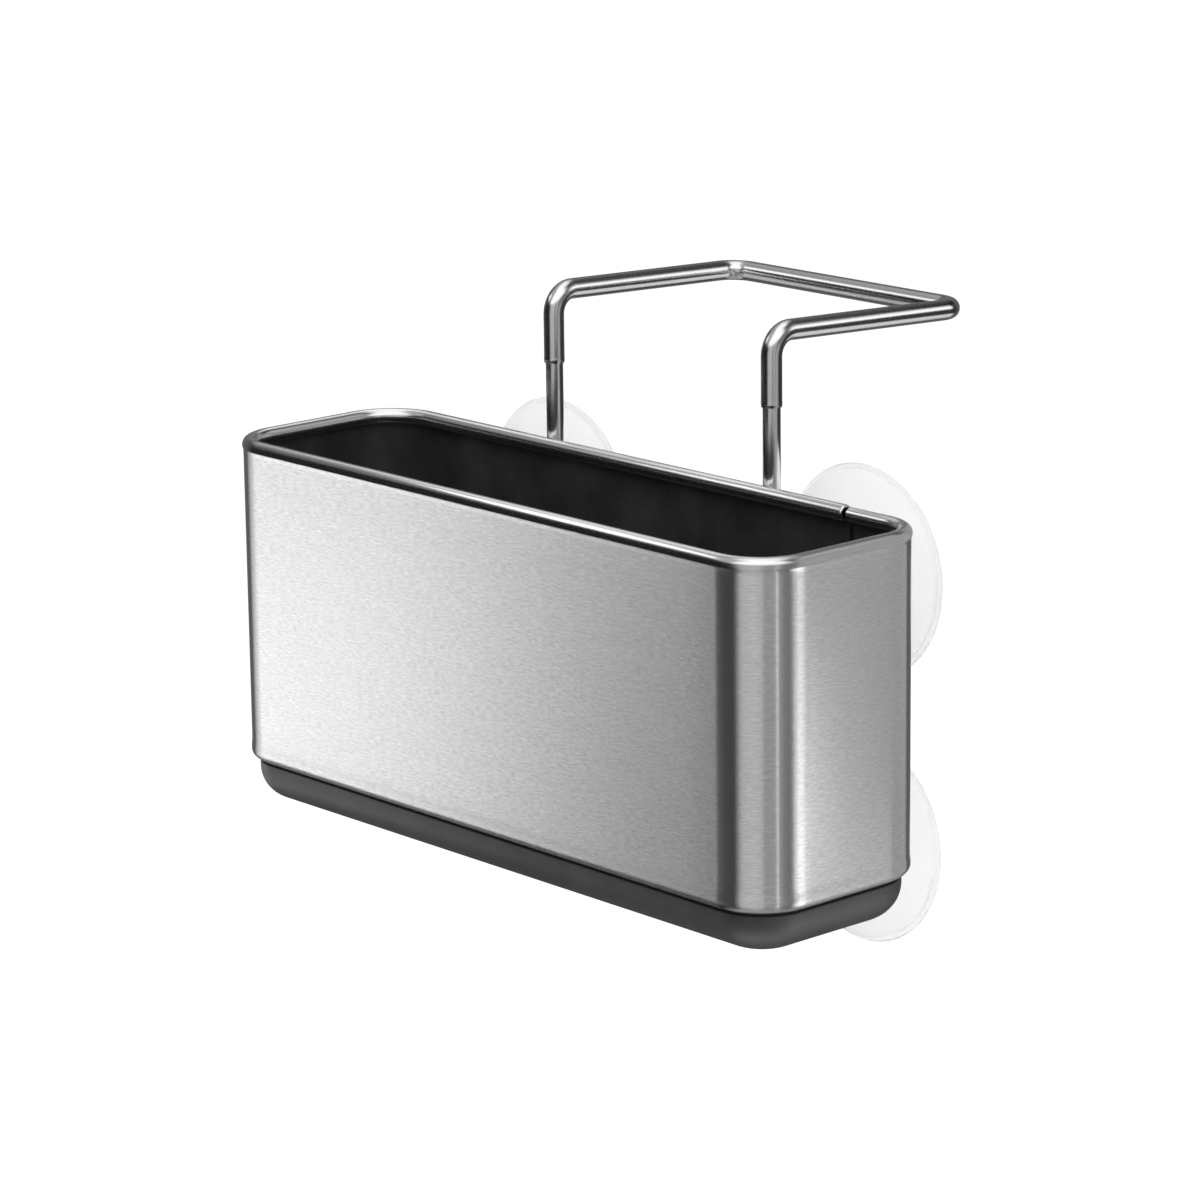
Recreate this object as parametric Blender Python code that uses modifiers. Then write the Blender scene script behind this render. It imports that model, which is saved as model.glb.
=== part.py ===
"""Slim sink caddy: an open steel sleeve on a plastic base, held by suction cups and a telescoping neck.

Metres, +Z up. The origin is on the sink wall, midway between the centres of the suction cups. +Y points into
the wall, so the caddy hangs on the -Y side of it and the neck's loop reaches over the wall to the faucet.
"""

import math

import bmesh
import bpy
from mathutils import Vector

# Sleeve: one band of sheet, rim rolled inward, foot turned in, open at one seam in the back
SLEEVE_WIDTH = 0.2200
SLEEVE_DEPTH = 0.0650
SLEEVE_HEIGHT = 0.0937
FRONT_CORNER_RADIUS = 0.0165
REAR_CORNER_RADIUS = 0.0178
SHEET = 0.0006
RIM_RADIUS = 0.0023
RIM_PROUD = 0.00035
RIM_END_ANGLE = math.radians(-95)
FOOT_RADIUS = 0.0024
FOOT_TURN = math.radians(70)
FOOT_PROUD = 0.0002
FOOT_FLARE = 0.0036
SEAM_FROM_END = 0.0315
SEAM_GAP = 0.0013
SEAM_STEP = 0.0005
SEAM_STRIP_WIDTH = 0.0120
SEAM_STRIP_LENGTH = 0.0842
SEAM_STRIP_BELOW_RIM = 0.0004
SEAM_STRIP_CORNER = 0.0020

# Where the sleeve hangs from the cups
STANDOFF = 0.0209
CUP_SPACING_X = 0.1239
CUP_SPACING_Z = 0.0751
CUP_BELOW_FOOT = 0.0058

# Base: a moulded tray whose upstand snaps into the sleeve's foot
BASE_DROP = 0.0125
BASE_INSET = 0.0022
BASE_FILLET = 0.0095
BASE_WALL = 0.0023
SHOULDER_GAP = 0.0004
UPSTAND_INSET = 0.0030
UPSTAND_HEIGHT = 0.0090
BARB_LENGTH = 0.0120
BARB_HEIGHT = 0.0034
BARB_CATCH = 0.00035
SLOT_WIDTH = 0.0032
SLOT_LENGTH = 0.0150
SLOT_PITCH_X = 0.0250
SLOT_PITCH_Y = 0.0200
SLOT_COLUMNS = 7
RIB_WIDTH = 0.0016
RIB_HEIGHT = 0.0014
RIB_LENGTH = 0.0380

# Telescoping neck: guide tubes behind the back wall, rods sliding in them, and the loop crimped on the rods
ROD_SPACING = 0.0877
ROD_OFFSET = 0.0037
ROD_RADIUS = 0.00245
ROD_LENGTH = 0.1000
ROD_CHAMFER = 0.0003
ROD_SOCKET = 0.0095
NECK_OUT = 0.0247
GUIDE_RADIUS = 0.0032
GUIDE_WALL = 0.00035
GUIDE_BELOW_RIM = 0.0042
GUIDE_BELOW_FOOT = 0.0070
MOUTH_RADIUS = 0.0026
MOUTH_LENGTH = 0.0015
BUSH_LENGTH = 0.0120
BUSH_CLEARANCE = 0.00013
TENON_RADIUS = 0.0016
TENON_CLEARANCE = 0.00015
TENON_HEAD_RADIUS = 0.0022
TENON_HEAD_LENGTH = 0.0008
PLUG_FLANGE = 0.0012
PLUG_SPIGOT = 0.0040
PLUG_CLEARANCE = 0.00015

# Loop: tube bent round the faucet, open towards the caddy
TUBE_RADIUS = 0.0029
TUBE_WALL = 0.00028
LOOP_LEG = 0.0204
LOOP_REACH = 0.0717
LOOP_FALL = 0.0030
LOOP_SPLAY = 0.0009
BEND_RADIUS = 0.0065
CRIMP_LENGTH = 0.0010
CRIMP_SHARE = 0.985
BULGE_SHARE = 1.02

# Saddles: stamped clips spot welded to the back wall, over the guide tubes
SADDLE_WIDTH = 0.0090
SADDLE_SHEET = 0.0008
SADDLE_EAR = 0.0070
SADDLE_BEND = 0.0012
SADDLE_UPPER = 0.0600
SADDLE_LOWER = 0.0140

# Cross wires, with an eye curled at each end round a suction cup's neck
WIRE_RADIUS = 0.00175
EYE_TURN = math.radians(283)

# Suction cups, measured out from the sink wall
CUP_RADIUS = 0.0294
CUP_LIP = 0.0014
CUP_NECK_RADIUS = 0.0034
CUP_HEAD_RADIUS = 0.0052
CUP_HEAD_HEIGHT = 0.0046
CUP_SHOULDER_RADIUS = 0.0080
CUP_SKIN = 0.0020
CUP_EDGE = 0.0006

# Clearances: between neighbours that touch, and past a face for a cut or a union
GAP = 0.0003
OVERRUN = 0.0005
MERGE = 0.00001

# Facets
CORNER_STEPS = 8
RIM_STEPS = 14
RIM_INNER_STEPS = 10
FOOT_STEPS = 4
FLARE_SHARES = (0.3, 0.65, 1)
FILLET_STEPS = 5
SLOT_STEPS = 5
BEND_STEPS = 6
EYE_STEPS = 12
SADDLE_STEPS = 8
ROUND_STEPS = 16
CUP_STEPS = 28
CUP_DOME_STEPS = 4
TUBE_RESOLUTION = 4
WIRE_RESOLUTION = 2
SHARP_ANGLE = math.radians(35)

# Places worked out from the sizes above
BACK_Y = -STANDOFF
SEAM_X = SLEEVE_WIDTH / 2 - SEAM_FROM_END
FRONT_Y = BACK_Y - SLEEVE_DEPTH
FOOT_Z = CUP_BELOW_FOOT - CUP_SPACING_Z / 2
RIM_Z = FOOT_Z + SLEEVE_HEIGHT
BASE_Z = FOOT_Z - BASE_DROP
FLOOR_Z = BASE_Z + BASE_WALL
SHOULDER_Z = FOOT_Z - SHOULDER_GAP
ROD_Y = BACK_Y + ROD_OFFSET
MOUTH_Z = RIM_Z - GUIDE_BELOW_RIM
GUIDE_Z = FOOT_Z - GUIDE_BELOW_FOOT
LOOP_END_Z = MOUTH_Z + NECK_OUT
LOOP_Z = LOOP_END_Z + LOOP_LEG
ROD_TOP_Z = LOOP_END_Z + ROD_SOCKET
SHOULDER_LENGTH = ROD_LENGTH - BUSH_LENGTH - TENON_HEAD_LENGTH - GAP
GUIDE_BORE = GUIDE_RADIUS - GUIDE_WALL
WIRE_Y = ROD_Y + GUIDE_RADIUS + GAP + WIRE_RADIUS
EYE_RADIUS = CUP_NECK_RADIUS + GAP + WIRE_RADIUS
SIDES = {"left": -1, "right": 1}
LEVELS = {"upper": 1, "lower": -1}


def clear_scene():
    for obj in list(bpy.data.objects):
        bpy.data.objects.remove(obj, do_unlink=True)


def new_collection(name):
    collection = bpy.data.collections.new(name)
    bpy.context.scene.collection.children.link(collection)
    return collection


def new_material(name, colour, metallic, roughness):
    material = bpy.data.materials.new(name)
    material.use_nodes = True
    shader = material.node_tree.nodes["Principled BSDF"]
    shader.inputs["Base Color"].default_value = (*colour, 1)
    shader.inputs["Metallic"].default_value = metallic
    shader.inputs["Roughness"].default_value = roughness
    return material


def brushed_steel():
    return new_material("brushed_steel", (0.62, 0.62, 0.61), 1, 0.34)


def polished_steel():
    return new_material("polished_steel", (0.70, 0.70, 0.69), 1, 0.12)


def plain_steel():
    return new_material("plain_steel", (0.56, 0.56, 0.55), 1, 0.40)


def base_plastic():
    return new_material("base_plastic", (0.055, 0.056, 0.058), 0, 0.55)


def nylon():
    return new_material("nylon", (0.80, 0.79, 0.76), 0, 0.50)


def clear_rubber():
    material = new_material("clear_rubber", (0.86, 0.87, 0.87), 0, 0.25)
    shader = material.node_tree.nodes["Principled BSDF"]
    shader.inputs["Transmission Weight"].default_value = 0.6
    return material


def add_object(name, data, collection, material=None, parent=None):
    obj = bpy.data.objects.new(name, data)
    collection.objects.link(obj)
    if material is not None and not data.materials:
        data.materials.append(material)
    if parent is not None:
        obj.parent = parent
        obj.matrix_parent_inverse = parent.matrix_world.inverted()
    return obj


def add_empty(name, location, collection):
    empty = bpy.data.objects.new(name, None)
    empty.location = location
    collection.objects.link(empty)
    bpy.context.view_layer.update()
    return empty


def smooth(mesh):
    mesh.shade_smooth()
    mesh.set_sharp_from_angle(angle=SHARP_ANGLE)


def arc(start, end, steps):
    """Angles from start to end, both included."""
    return [start + (end - start) * step / steps for step in range(steps + 1)]


def loft(name, loops):
    """Mesh through closed loops of equal length, with the first and last loop filled."""
    shape = bmesh.new()
    rings = [[shape.verts.new(point) for point in loop] for loop in loops]
    for ring, following in zip(rings, rings[1:]):
        for i, vert in enumerate(ring):
            j = (i + 1) % len(ring)
            shape.faces.new((vert, ring[j], following[j], following[i]))
    shape.faces.new(rings[0])
    shape.faces.new(rings[-1])
    bmesh.ops.recalc_face_normals(shape, faces=shape.faces)
    mesh = bpy.data.meshes.new(name)
    shape.to_mesh(mesh)
    shape.free()
    smooth(mesh)
    return mesh


def corner_stations(side, rear):
    """Points and outward normals round one corner of the sleeve, counter-clockwise seen from above."""
    radius = REAR_CORNER_RADIUS if rear else FRONT_CORNER_RADIUS
    centre_y = BACK_Y - radius if rear else FRONT_Y + radius
    centre = Vector((side * (SLEEVE_WIDTH / 2 - radius), centre_y, 0))
    quarter = {(1, True): 0, (-1, True): 1, (-1, False): 2, (1, False): 3}[(side, rear)]
    angles = arc(quarter * math.pi / 2, (quarter + 1) * math.pi / 2, CORNER_STEPS)
    normals = [Vector((math.cos(angle), math.sin(angle), 0)) for angle in angles]
    return [(centre + radius * normal, normal) for normal in normals]


def plan_stations():
    """The sleeve's whole plan, from the back's left corner round to its right corner."""
    corners = ((-1, True), (-1, False), (1, False), (1, True))
    return [station for corner in corners for station in corner_stations(*corner)]


def place(station, inset, height):
    point, normal = station
    return point - inset * normal + Vector((0, 0, height))


def sleeve_profile(drop):
    """The band's section as (inset, height), from the foot's edge up the outside and down the inside."""
    rim_radius = RIM_RADIUS - drop / 2
    centre_inset = rim_radius - RIM_PROUD
    centre_z = RIM_Z - drop - rim_radius
    foot_centre_z = FOOT_Z + FOOT_RADIUS * math.sin(FOOT_TURN)
    foot_inset = FOOT_RADIUS - FOOT_PROUD

    def foot(radius, angle):
        return (foot_inset - radius * math.cos(angle), foot_centre_z - radius * math.sin(angle))

    def flare(wall, share):
        eased = FOOT_PROUD * (1 - share * share * (3 - share - share))
        return (wall - eased, foot_centre_z + FOOT_FLARE * share)

    def rim(radius, angle):
        return (centre_inset + radius * math.cos(angle), centre_z + radius * math.sin(angle))

    bore = rim_radius - SHEET
    outer_start = math.pi + math.acos(centre_inset / rim_radius)
    inner_end = math.pi + math.acos((centre_inset - SHEET) / bore)
    points = [foot(FOOT_RADIUS, angle) for angle in arc(FOOT_TURN, 0, FOOT_STEPS)]
    points += [flare(0, share) for share in FLARE_SHARES]
    points += [rim(rim_radius, angle) for angle in arc(outer_start, RIM_END_ANGLE, RIM_STEPS)]
    points += [rim(bore, angle) for angle in arc(RIM_END_ANGLE, inner_end, RIM_INNER_STEPS)]
    points += [flare(SHEET, share) for share in reversed(FLARE_SHARES)]
    points += [foot(FOOT_RADIUS - SHEET, angle) for angle in arc(0, FOOT_TURN, FOOT_STEPS)]
    return points


def add_sleeve(collection, material, parent):
    """The band runs from the seam's left round the plan and ends, a step lower, on the seam's right."""
    back = Vector((0, 1, 0))
    seam_left = (Vector((SEAM_X - SEAM_GAP / 2, BACK_Y, 0)), back)
    seam_right = (Vector((SEAM_X + SEAM_GAP / 2, BACK_Y, 0)), back)
    around = plan_stations()
    stations = [seam_left] + around + [seam_right]
    eased = [0] * (len(around) - CORNER_STEPS) + arc(0, SEAM_STEP, CORNER_STEPS)
    drops = eased + [SEAM_STEP]
    loops = [
        [place(station, inset, height) for inset, height in sleeve_profile(drop)]
        for station, drop in zip(stations, drops)
    ]
    return add_object("sleeve", loft("sleeve", loops), collection, material, parent)


def slot_outline(centre_x, centre_y, width, length):
    """A slot with round ends, its length along Y, as points in the XY plane."""
    radius = width / 2
    reach = length / 2 - radius
    points = []
    for end, start in ((1, 0), (-1, math.pi)):
        for angle in arc(start, start + math.pi, SLOT_STEPS):
            x = centre_x + radius * math.cos(angle)
            points.append((x, centre_y + end * reach + radius * math.sin(angle)))
    return points


def flat_curve(name, outlines, thickness):
    """A 2D curve filled on both faces, with one closed outline for each flat piece."""
    curve = bpy.data.curves.new(name, "CURVE")
    curve.dimensions = "2D"
    curve.fill_mode = "BOTH"
    curve.extrude = thickness / 2
    for outline in outlines:
        spline = curve.splines.new("POLY")
        spline.points.add(len(outline) - 1)
        for point, (x, y) in zip(spline.points, outline):
            point.co = (x, y, 0, 1)
        spline.use_cyclic_u = True
    return curve


def mesh_from_curve(obj, collection, parent=None):
    """The curve's evaluated mesh under its name and place, with its loose caps welded."""
    bpy.context.view_layer.update()
    evaluated = obj.evaluated_get(bpy.context.evaluated_depsgraph_get())
    mesh = bpy.data.meshes.new_from_object(evaluated)
    shape = bmesh.new()
    shape.from_mesh(mesh)
    bmesh.ops.remove_doubles(shape, verts=shape.verts, dist=MERGE)
    bmesh.ops.recalc_face_normals(shape, faces=shape.faces)
    shape.to_mesh(mesh)
    shape.free()
    smooth(mesh)
    name = obj.name
    placed = obj.matrix_world.copy()
    bpy.data.objects.remove(obj, do_unlink=True)
    solid = add_object(name, mesh, collection)
    solid.matrix_world = placed
    if parent is not None:
        bpy.context.view_layer.update()
        solid.parent = parent
        solid.matrix_parent_inverse = parent.matrix_world.inverted()
    return solid


def hide_cutter(obj):
    obj.hide_render = True
    obj.display_type = "WIRE"


def add_boolean(obj, other, operation):
    modifier = obj.modifiers.new(other.name, "BOOLEAN")
    modifier.operation = operation
    modifier.solver = "EXACT"
    modifier.object = other


def add_block(shape, low, high):
    """A box between two corners, added to a bmesh."""
    block = bmesh.ops.create_cube(shape, size=1)["verts"]
    for vert in block:
        vert.co = Vector((high[i] if vert.co[i] > 0 else low[i] for i in range(3)))
    return block


def base_loops():
    """Rings of the base, from its underside up the outside, over the upstand and down to the floor."""
    turn_inset = BASE_INSET + BASE_FILLET
    turn_z = BASE_Z + BASE_FILLET
    inner_fillet = BASE_FILLET - BASE_WALL
    inner_inset = BASE_INSET + BASE_WALL
    upstand_z = FOOT_Z + UPSTAND_HEIGHT
    section = [
        (turn_inset - BASE_FILLET * math.cos(angle), turn_z - BASE_FILLET * math.sin(angle))
        for angle in arc(math.pi / 2, 0, FILLET_STEPS)
    ]
    section += [(BASE_INSET, SHOULDER_Z), (UPSTAND_INSET, SHOULDER_Z)]
    section += [(UPSTAND_INSET, upstand_z), (inner_inset, upstand_z)]
    section += [
        (turn_inset - inner_fillet * math.cos(angle), turn_z - inner_fillet * math.sin(angle))
        for angle in arc(0, math.pi / 2, FILLET_STEPS)
    ]
    stations = plan_stations()
    return [[place(station, inset, height) for station in stations] for inset, height in section]


def slot_centres():
    """Two rows of drain slots, as columns across the floor."""
    middle_y = (FRONT_Y + BACK_Y) / 2
    first = -SLOT_PITCH_X * (SLOT_COLUMNS - 1) / 2
    columns = [first + SLOT_PITCH_X * column for column in range(SLOT_COLUMNS)]
    return [(x, middle_y + row * SLOT_PITCH_Y / 2) for x in columns for row in (-1, 1)]


def add_slot_cutter(cutters):
    outlines = [slot_outline(x, y, SLOT_WIDTH, SLOT_LENGTH) for x, y in slot_centres()]
    curve = flat_curve("drain_slots", outlines, BASE_WALL + OVERRUN + OVERRUN)
    obj = add_object("drain_slots", curve, cutters)
    obj.location = (0, 0, (BASE_Z + FLOOR_Z) / 2)
    cutter = mesh_from_curve(obj, cutters)
    hide_cutter(cutter)
    return cutter


def add_rib_blanks(cutters):
    """Ribs across the floor, between the slots and outside the first and last."""
    middle_y = (FRONT_Y + BACK_Y) / 2
    shape = bmesh.new()
    for column in range(SLOT_COLUMNS + 1):
        x = SLOT_PITCH_X * (column - SLOT_COLUMNS / 2)
        low = (x - RIB_WIDTH / 2, middle_y - RIB_LENGTH / 2, FLOOR_Z - OVERRUN)
        high = (x + RIB_WIDTH / 2, middle_y + RIB_LENGTH / 2, FLOOR_Z + RIB_HEIGHT)
        add_block(shape, low, high)
    mesh = bpy.data.meshes.new("floor_ribs")
    shape.to_mesh(mesh)
    shape.free()
    blanks = add_object("floor_ribs", mesh, cutters)
    hide_cutter(blanks)
    return blanks


def barb_section():
    """A snap barb as (inset, height): it catches over the foot's edge and slopes back to the upstand."""
    lip_inset = FOOT_RADIUS - FOOT_PROUD - (FOOT_RADIUS - SHEET) * math.cos(FOOT_TURN)
    lip_z = FOOT_Z + SHEET * math.sin(FOOT_TURN)
    catch_z = lip_z + SHEET
    root = UPSTAND_INSET + OVERRUN
    return [
        (root, catch_z),
        (lip_inset - BARB_CATCH, catch_z),
        (lip_inset - BARB_CATCH, catch_z + SHEET),
        (root, catch_z + BARB_HEIGHT),
    ]


def barb_stations():
    """Middles of the straight runs that carry a barb, each with its outward normal and its run direction."""
    middle_y = (FRONT_Y + BACK_Y) / 2
    third = SLEEVE_WIDTH / 3
    stations = []
    for x in (-third, 0, third):
        stations.append((Vector((x, FRONT_Y, 0)), Vector((0, -1, 0)), Vector((1, 0, 0))))
        stations.append((Vector((x, BACK_Y, 0)), Vector((0, 1, 0)), Vector((1, 0, 0))))
    for side in SIDES.values():
        middle = Vector((side * SLEEVE_WIDTH / 2, middle_y, 0))
        stations.append((middle, Vector((side, 0, 0)), Vector((0, 1, 0))))
    return stations


def add_barb_blanks(cutters):
    section = barb_section()
    shape = bmesh.new()
    for point, normal, run in barb_stations():
        ends = [point + run * end * BARB_LENGTH / 2 for end in (-1, 1)]
        rings = [[shape.verts.new(place((end, normal), *spot)) for spot in section] for end in ends]
        shape.faces.new(rings[0])
        shape.faces.new(rings[1])
        for i, vert in enumerate(rings[0]):
            j = (i + 1) % len(section)
            shape.faces.new((vert, rings[0][j], rings[1][j], rings[1][i]))
    bmesh.ops.recalc_face_normals(shape, faces=shape.faces)
    mesh = bpy.data.meshes.new("snap_barbs")
    shape.to_mesh(mesh)
    shape.free()
    blanks = add_object("snap_barbs", mesh, cutters)
    hide_cutter(blanks)
    return blanks


def add_base(collection, cutters, material, parent):
    base = add_object("base", loft("base", base_loops()), collection, material, parent)
    add_boolean(base, add_rib_blanks(cutters), "UNION")
    add_boolean(base, add_barb_blanks(cutters), "UNION")
    add_boolean(base, add_slot_cutter(cutters), "DIFFERENCE")
    return base


def turned_mesh(name, profile, closed=False):
    """A profile of (radius, height) points in the XZ plane, for a Screw modifier to turn."""
    shape = bmesh.new()
    verts = [shape.verts.new((radius, 0, height)) for radius, height in profile]
    for vert, following in zip(verts, verts[1:]):
        shape.edges.new((vert, following))
    if closed:
        shape.edges.new((verts[-1], verts[0]))
    mesh = bpy.data.meshes.new(name)
    shape.to_mesh(mesh)
    shape.free()
    return mesh


def add_turned(name, mesh, steps, collection, material, parent):
    obj = add_object(name, mesh, collection, material, parent)
    screw = obj.modifiers.new("turn", "SCREW")
    screw.steps = steps
    screw.render_steps = steps
    screw.use_merge_vertices = True
    screw.merge_threshold = MERGE
    screw.use_smooth_shade = True
    return obj


def guide_profile():
    """A tube with its mouth crimped in to stop the bush, from the mouth down the outside and up the bore."""
    length = MOUTH_Z - GUIDE_Z
    crimped = MOUTH_RADIUS + GUIDE_WALL
    return [
        (MOUTH_RADIUS, 0),
        (crimped, 0),
        (GUIDE_RADIUS, -MOUTH_LENGTH),
        (GUIDE_RADIUS, -length),
        (GUIDE_BORE, -length),
        (GUIDE_BORE, -MOUTH_LENGTH - GUIDE_WALL),
        (MOUTH_RADIUS, -MOUTH_LENGTH),
    ]


def rod_profile():
    """A rod whose lower end is turned down to a tenon with a riveted head, for the bush."""
    head_z = SHOULDER_LENGTH + BUSH_LENGTH + GAP
    return [
        (0, 0),
        (ROD_RADIUS - ROD_CHAMFER, 0),
        (ROD_RADIUS, -ROD_CHAMFER),
        (ROD_RADIUS, -SHOULDER_LENGTH),
        (TENON_RADIUS, -SHOULDER_LENGTH),
        (TENON_RADIUS, -head_z),
        (TENON_HEAD_RADIUS, -head_z),
        (TENON_HEAD_RADIUS, -ROD_LENGTH),
        (0, -ROD_LENGTH),
    ]


def bush_profile():
    """A sleeve bush between the rod's shoulder and the tenon's head."""
    outer = GUIDE_BORE - BUSH_CLEARANCE
    inner = TENON_RADIUS + TENON_CLEARANCE
    length = BUSH_LENGTH - GAP
    return [
        (inner, 0),
        (outer - ROD_CHAMFER, 0),
        (outer, -ROD_CHAMFER),
        (outer, ROD_CHAMFER - length),
        (outer - ROD_CHAMFER, -length),
        (inner, -length),
    ]


def plug_profile():
    """A flanged plug under the guide tube, its spigot up the bore."""
    spigot = GUIDE_BORE - PLUG_CLEARANCE
    return [
        (0, PLUG_SPIGOT),
        (spigot - ROD_CHAMFER, PLUG_SPIGOT),
        (spigot, PLUG_SPIGOT - ROD_CHAMFER),
        (spigot, 0),
        (GUIDE_RADIUS, 0),
        (GUIDE_RADIUS, ROD_CHAMFER - PLUG_FLANGE),
        (GUIDE_RADIUS - ROD_CHAMFER, -PLUG_FLANGE),
        (0, -PLUG_FLANGE),
    ]


def add_guides(collection, steel, plastic, parent):
    tube = turned_mesh("guide_tube", guide_profile(), closed=True)
    plug = turned_mesh("plug", plug_profile())
    for word, side in SIDES.items():
        x = side * ROD_SPACING / 2
        guide = add_turned("guide_tube_" + word, tube, ROUND_STEPS, collection, steel, parent)
        guide.location = (x, ROD_Y, MOUTH_Z)
        stopper = add_turned("plug_" + word, plug, ROUND_STEPS, collection, plastic, parent)
        stopper.location = (x, ROD_Y, GUIDE_Z - GAP)


def add_rods(collection, steel, plastic, neck):
    rod_mesh = turned_mesh("rod", rod_profile())
    bush_mesh = turned_mesh("bush", bush_profile(), closed=True)
    for word, side in SIDES.items():
        x = side * ROD_SPACING / 2
        rod = add_turned("rod_" + word, rod_mesh, ROUND_STEPS, collection, steel, neck)
        rod.location = (x, ROD_Y, ROD_TOP_Z)
        bush = add_turned("bush_" + word, bush_mesh, ROUND_STEPS, collection, plastic, neck)
        bush.location = (x, ROD_Y, ROD_TOP_Z - SHOULDER_LENGTH - GAP)


def filleted(corners, radius, steps):
    """A path through corner points, with each inner corner replaced by an arc."""
    path = [corners[0]]
    for before, corner, after in zip(corners, corners[1:], corners[2:]):
        incoming = (corner - before).normalized()
        outgoing = (after - corner).normalized()
        turn = incoming.angle(outgoing)
        start = corner - incoming * radius * math.tan(turn / 2)
        inward = (outgoing - incoming * math.cos(turn)).normalized()
        centre = start + inward * radius
        for angle in arc(0, turn, steps):
            path.append(centre - inward * radius * math.cos(angle) + incoming * radius * math.sin(angle))
    path.append(corners[-1])
    return path


def tube_curve(name, path, radius, resolution, capped):
    curve = bpy.data.curves.new(name, "CURVE")
    curve.dimensions = "3D"
    curve.bevel_depth = radius
    curve.bevel_resolution = resolution
    curve.use_fill_caps = capped
    spline = curve.splines.new("POLY")
    spline.points.add(len(path) - 1)
    for point, place_on_path in zip(spline.points, path):
        point.co = (*place_on_path, 1)
    return curve


def loop_path():
    """Up the left leg, back over the sink wall, across behind the faucet and forward again."""
    front = ROD_SPACING / 2
    rear = front + LOOP_SPLAY
    rear_y = ROD_Y + LOOP_REACH
    rear_z = LOOP_Z - LOOP_FALL
    corners = [
        Vector((-front, ROD_Y, LOOP_END_Z)),
        Vector((-front, ROD_Y, LOOP_Z)),
        Vector((-rear, rear_y, rear_z)),
        Vector((rear, rear_y, rear_z)),
        Vector((front, ROD_Y, LOOP_Z)),
        Vector((front, ROD_Y, LOOP_END_Z)),
    ]
    path = filleted(corners, BEND_RADIUS, BEND_STEPS)
    crimp = Vector((0, 0, CRIMP_LENGTH))
    left_end = [path[0], path[0] + crimp, path[0] + crimp + crimp]
    right_end = [path[-1] + crimp + crimp, path[-1] + crimp, path[-1]]
    return left_end + path[1:-1] + right_end


def add_loop(collection, material, neck):
    """A hollow tube: an open swept surface with its wall grown inward, each end crimped onto a rod."""
    curve = tube_curve("faucet_loop", loop_path(), TUBE_RADIUS, TUBE_RESOLUTION, False)
    points = curve.splines[0].points
    for point, share in ((points[0], CRIMP_SHARE), (points[1], BULGE_SHARE)):
        point.radius = share
    for point, share in ((points[-1], CRIMP_SHARE), (points[-2], BULGE_SHARE)):
        point.radius = share
    loop = mesh_from_curve(add_object("faucet_loop", curve, collection), collection, neck)
    loop.data.materials.append(material)
    wall = loop.modifiers.new("wall", "SOLIDIFY")
    wall.thickness = TUBE_WALL
    wall.offset = -1
    return loop


def saddle_path():
    """A saddle's inner face seen from above, ear to ear round the back of a guide tube at the origin."""
    inner = GUIDE_RADIUS + GAP
    ear_y = GAP - ROD_OFFSET
    left = [
        Vector((-inner - SADDLE_EAR, ear_y, 0)),
        Vector((-inner, ear_y, 0)),
        Vector((-inner, 0, 0)),
    ]
    rise = filleted(left, SADDLE_BEND, SLOT_STEPS)[:-1]
    over = [
        Vector((-inner * math.cos(angle), inner * math.sin(angle), 0))
        for angle in arc(0, math.pi, SADDLE_STEPS)
    ]
    fall = [Vector((-point.x, point.y, 0)) for point in reversed(rise)]
    return rise + over + fall


def saddle_mesh():
    path = saddle_path()
    half = Vector((0, 0, SADDLE_WIDTH / 2))
    shape = bmesh.new()
    lower = [shape.verts.new(point - half) for point in path]
    upper = [shape.verts.new(point + half) for point in path]
    for i in range(len(path) - 1):
        shape.faces.new((lower[i], upper[i], upper[i + 1], lower[i + 1]))
    mesh = bpy.data.meshes.new("saddle")
    shape.to_mesh(mesh)
    shape.free()
    smooth(mesh)
    return mesh


def add_saddles(collection, material, parent):
    mesh = saddle_mesh()
    heights = {"upper": SADDLE_UPPER, "lower": SADDLE_LOWER}
    for level, height in heights.items():
        for word, side in SIDES.items():
            name = "saddle_" + level + "_" + word
            saddle = add_object(name, mesh, collection, material, parent)
            saddle.location = (side * ROD_SPACING / 2, ROD_Y, FOOT_Z + height)
            sheet = saddle.modifiers.new("sheet", "SOLIDIFY")
            sheet.thickness = SADDLE_SHEET
            sheet.offset = 1
            sheet.use_even_offset = True


def eye_points(side):
    """An eye round a cup's centre, from its end to the point where it meets the straight wire on top."""
    centre_x = side * CUP_SPACING_X / 2
    return [
        Vector((centre_x + side * EYE_RADIUS * math.sin(angle), 0, EYE_RADIUS * math.cos(angle)))
        for angle in arc(EYE_TURN, 0, EYE_STEPS)
    ]


def add_wires(collection, material, parent):
    path = eye_points(-1) + eye_points(1)[::-1]
    for level, sign in LEVELS.items():
        name = "cross_wire_" + level
        curve = tube_curve(name, path, WIRE_RADIUS, WIRE_RESOLUTION, True)
        wire = add_object(name, curve, collection, material, parent)
        wire.location = (0, WIRE_Y, sign * CUP_SPACING_Z / 2)


def dome(start, end, steps):
    """Points between two (radius, height) points on a circle centred on the cup's axis, both included."""
    (start_r, start_z), (end_r, end_z) = start, end
    centre_z = (start_r**2 + start_z**2 - end_r**2 - end_z**2) / (start_z - end_z) / 2
    radius = math.hypot(end_r, end_z - centre_z)
    turns = arc(math.asin(start_r / radius), math.asin(end_r / radius), steps)
    return [(radius * math.sin(turn), centre_z + radius * math.cos(turn)) for turn in turns]


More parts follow.
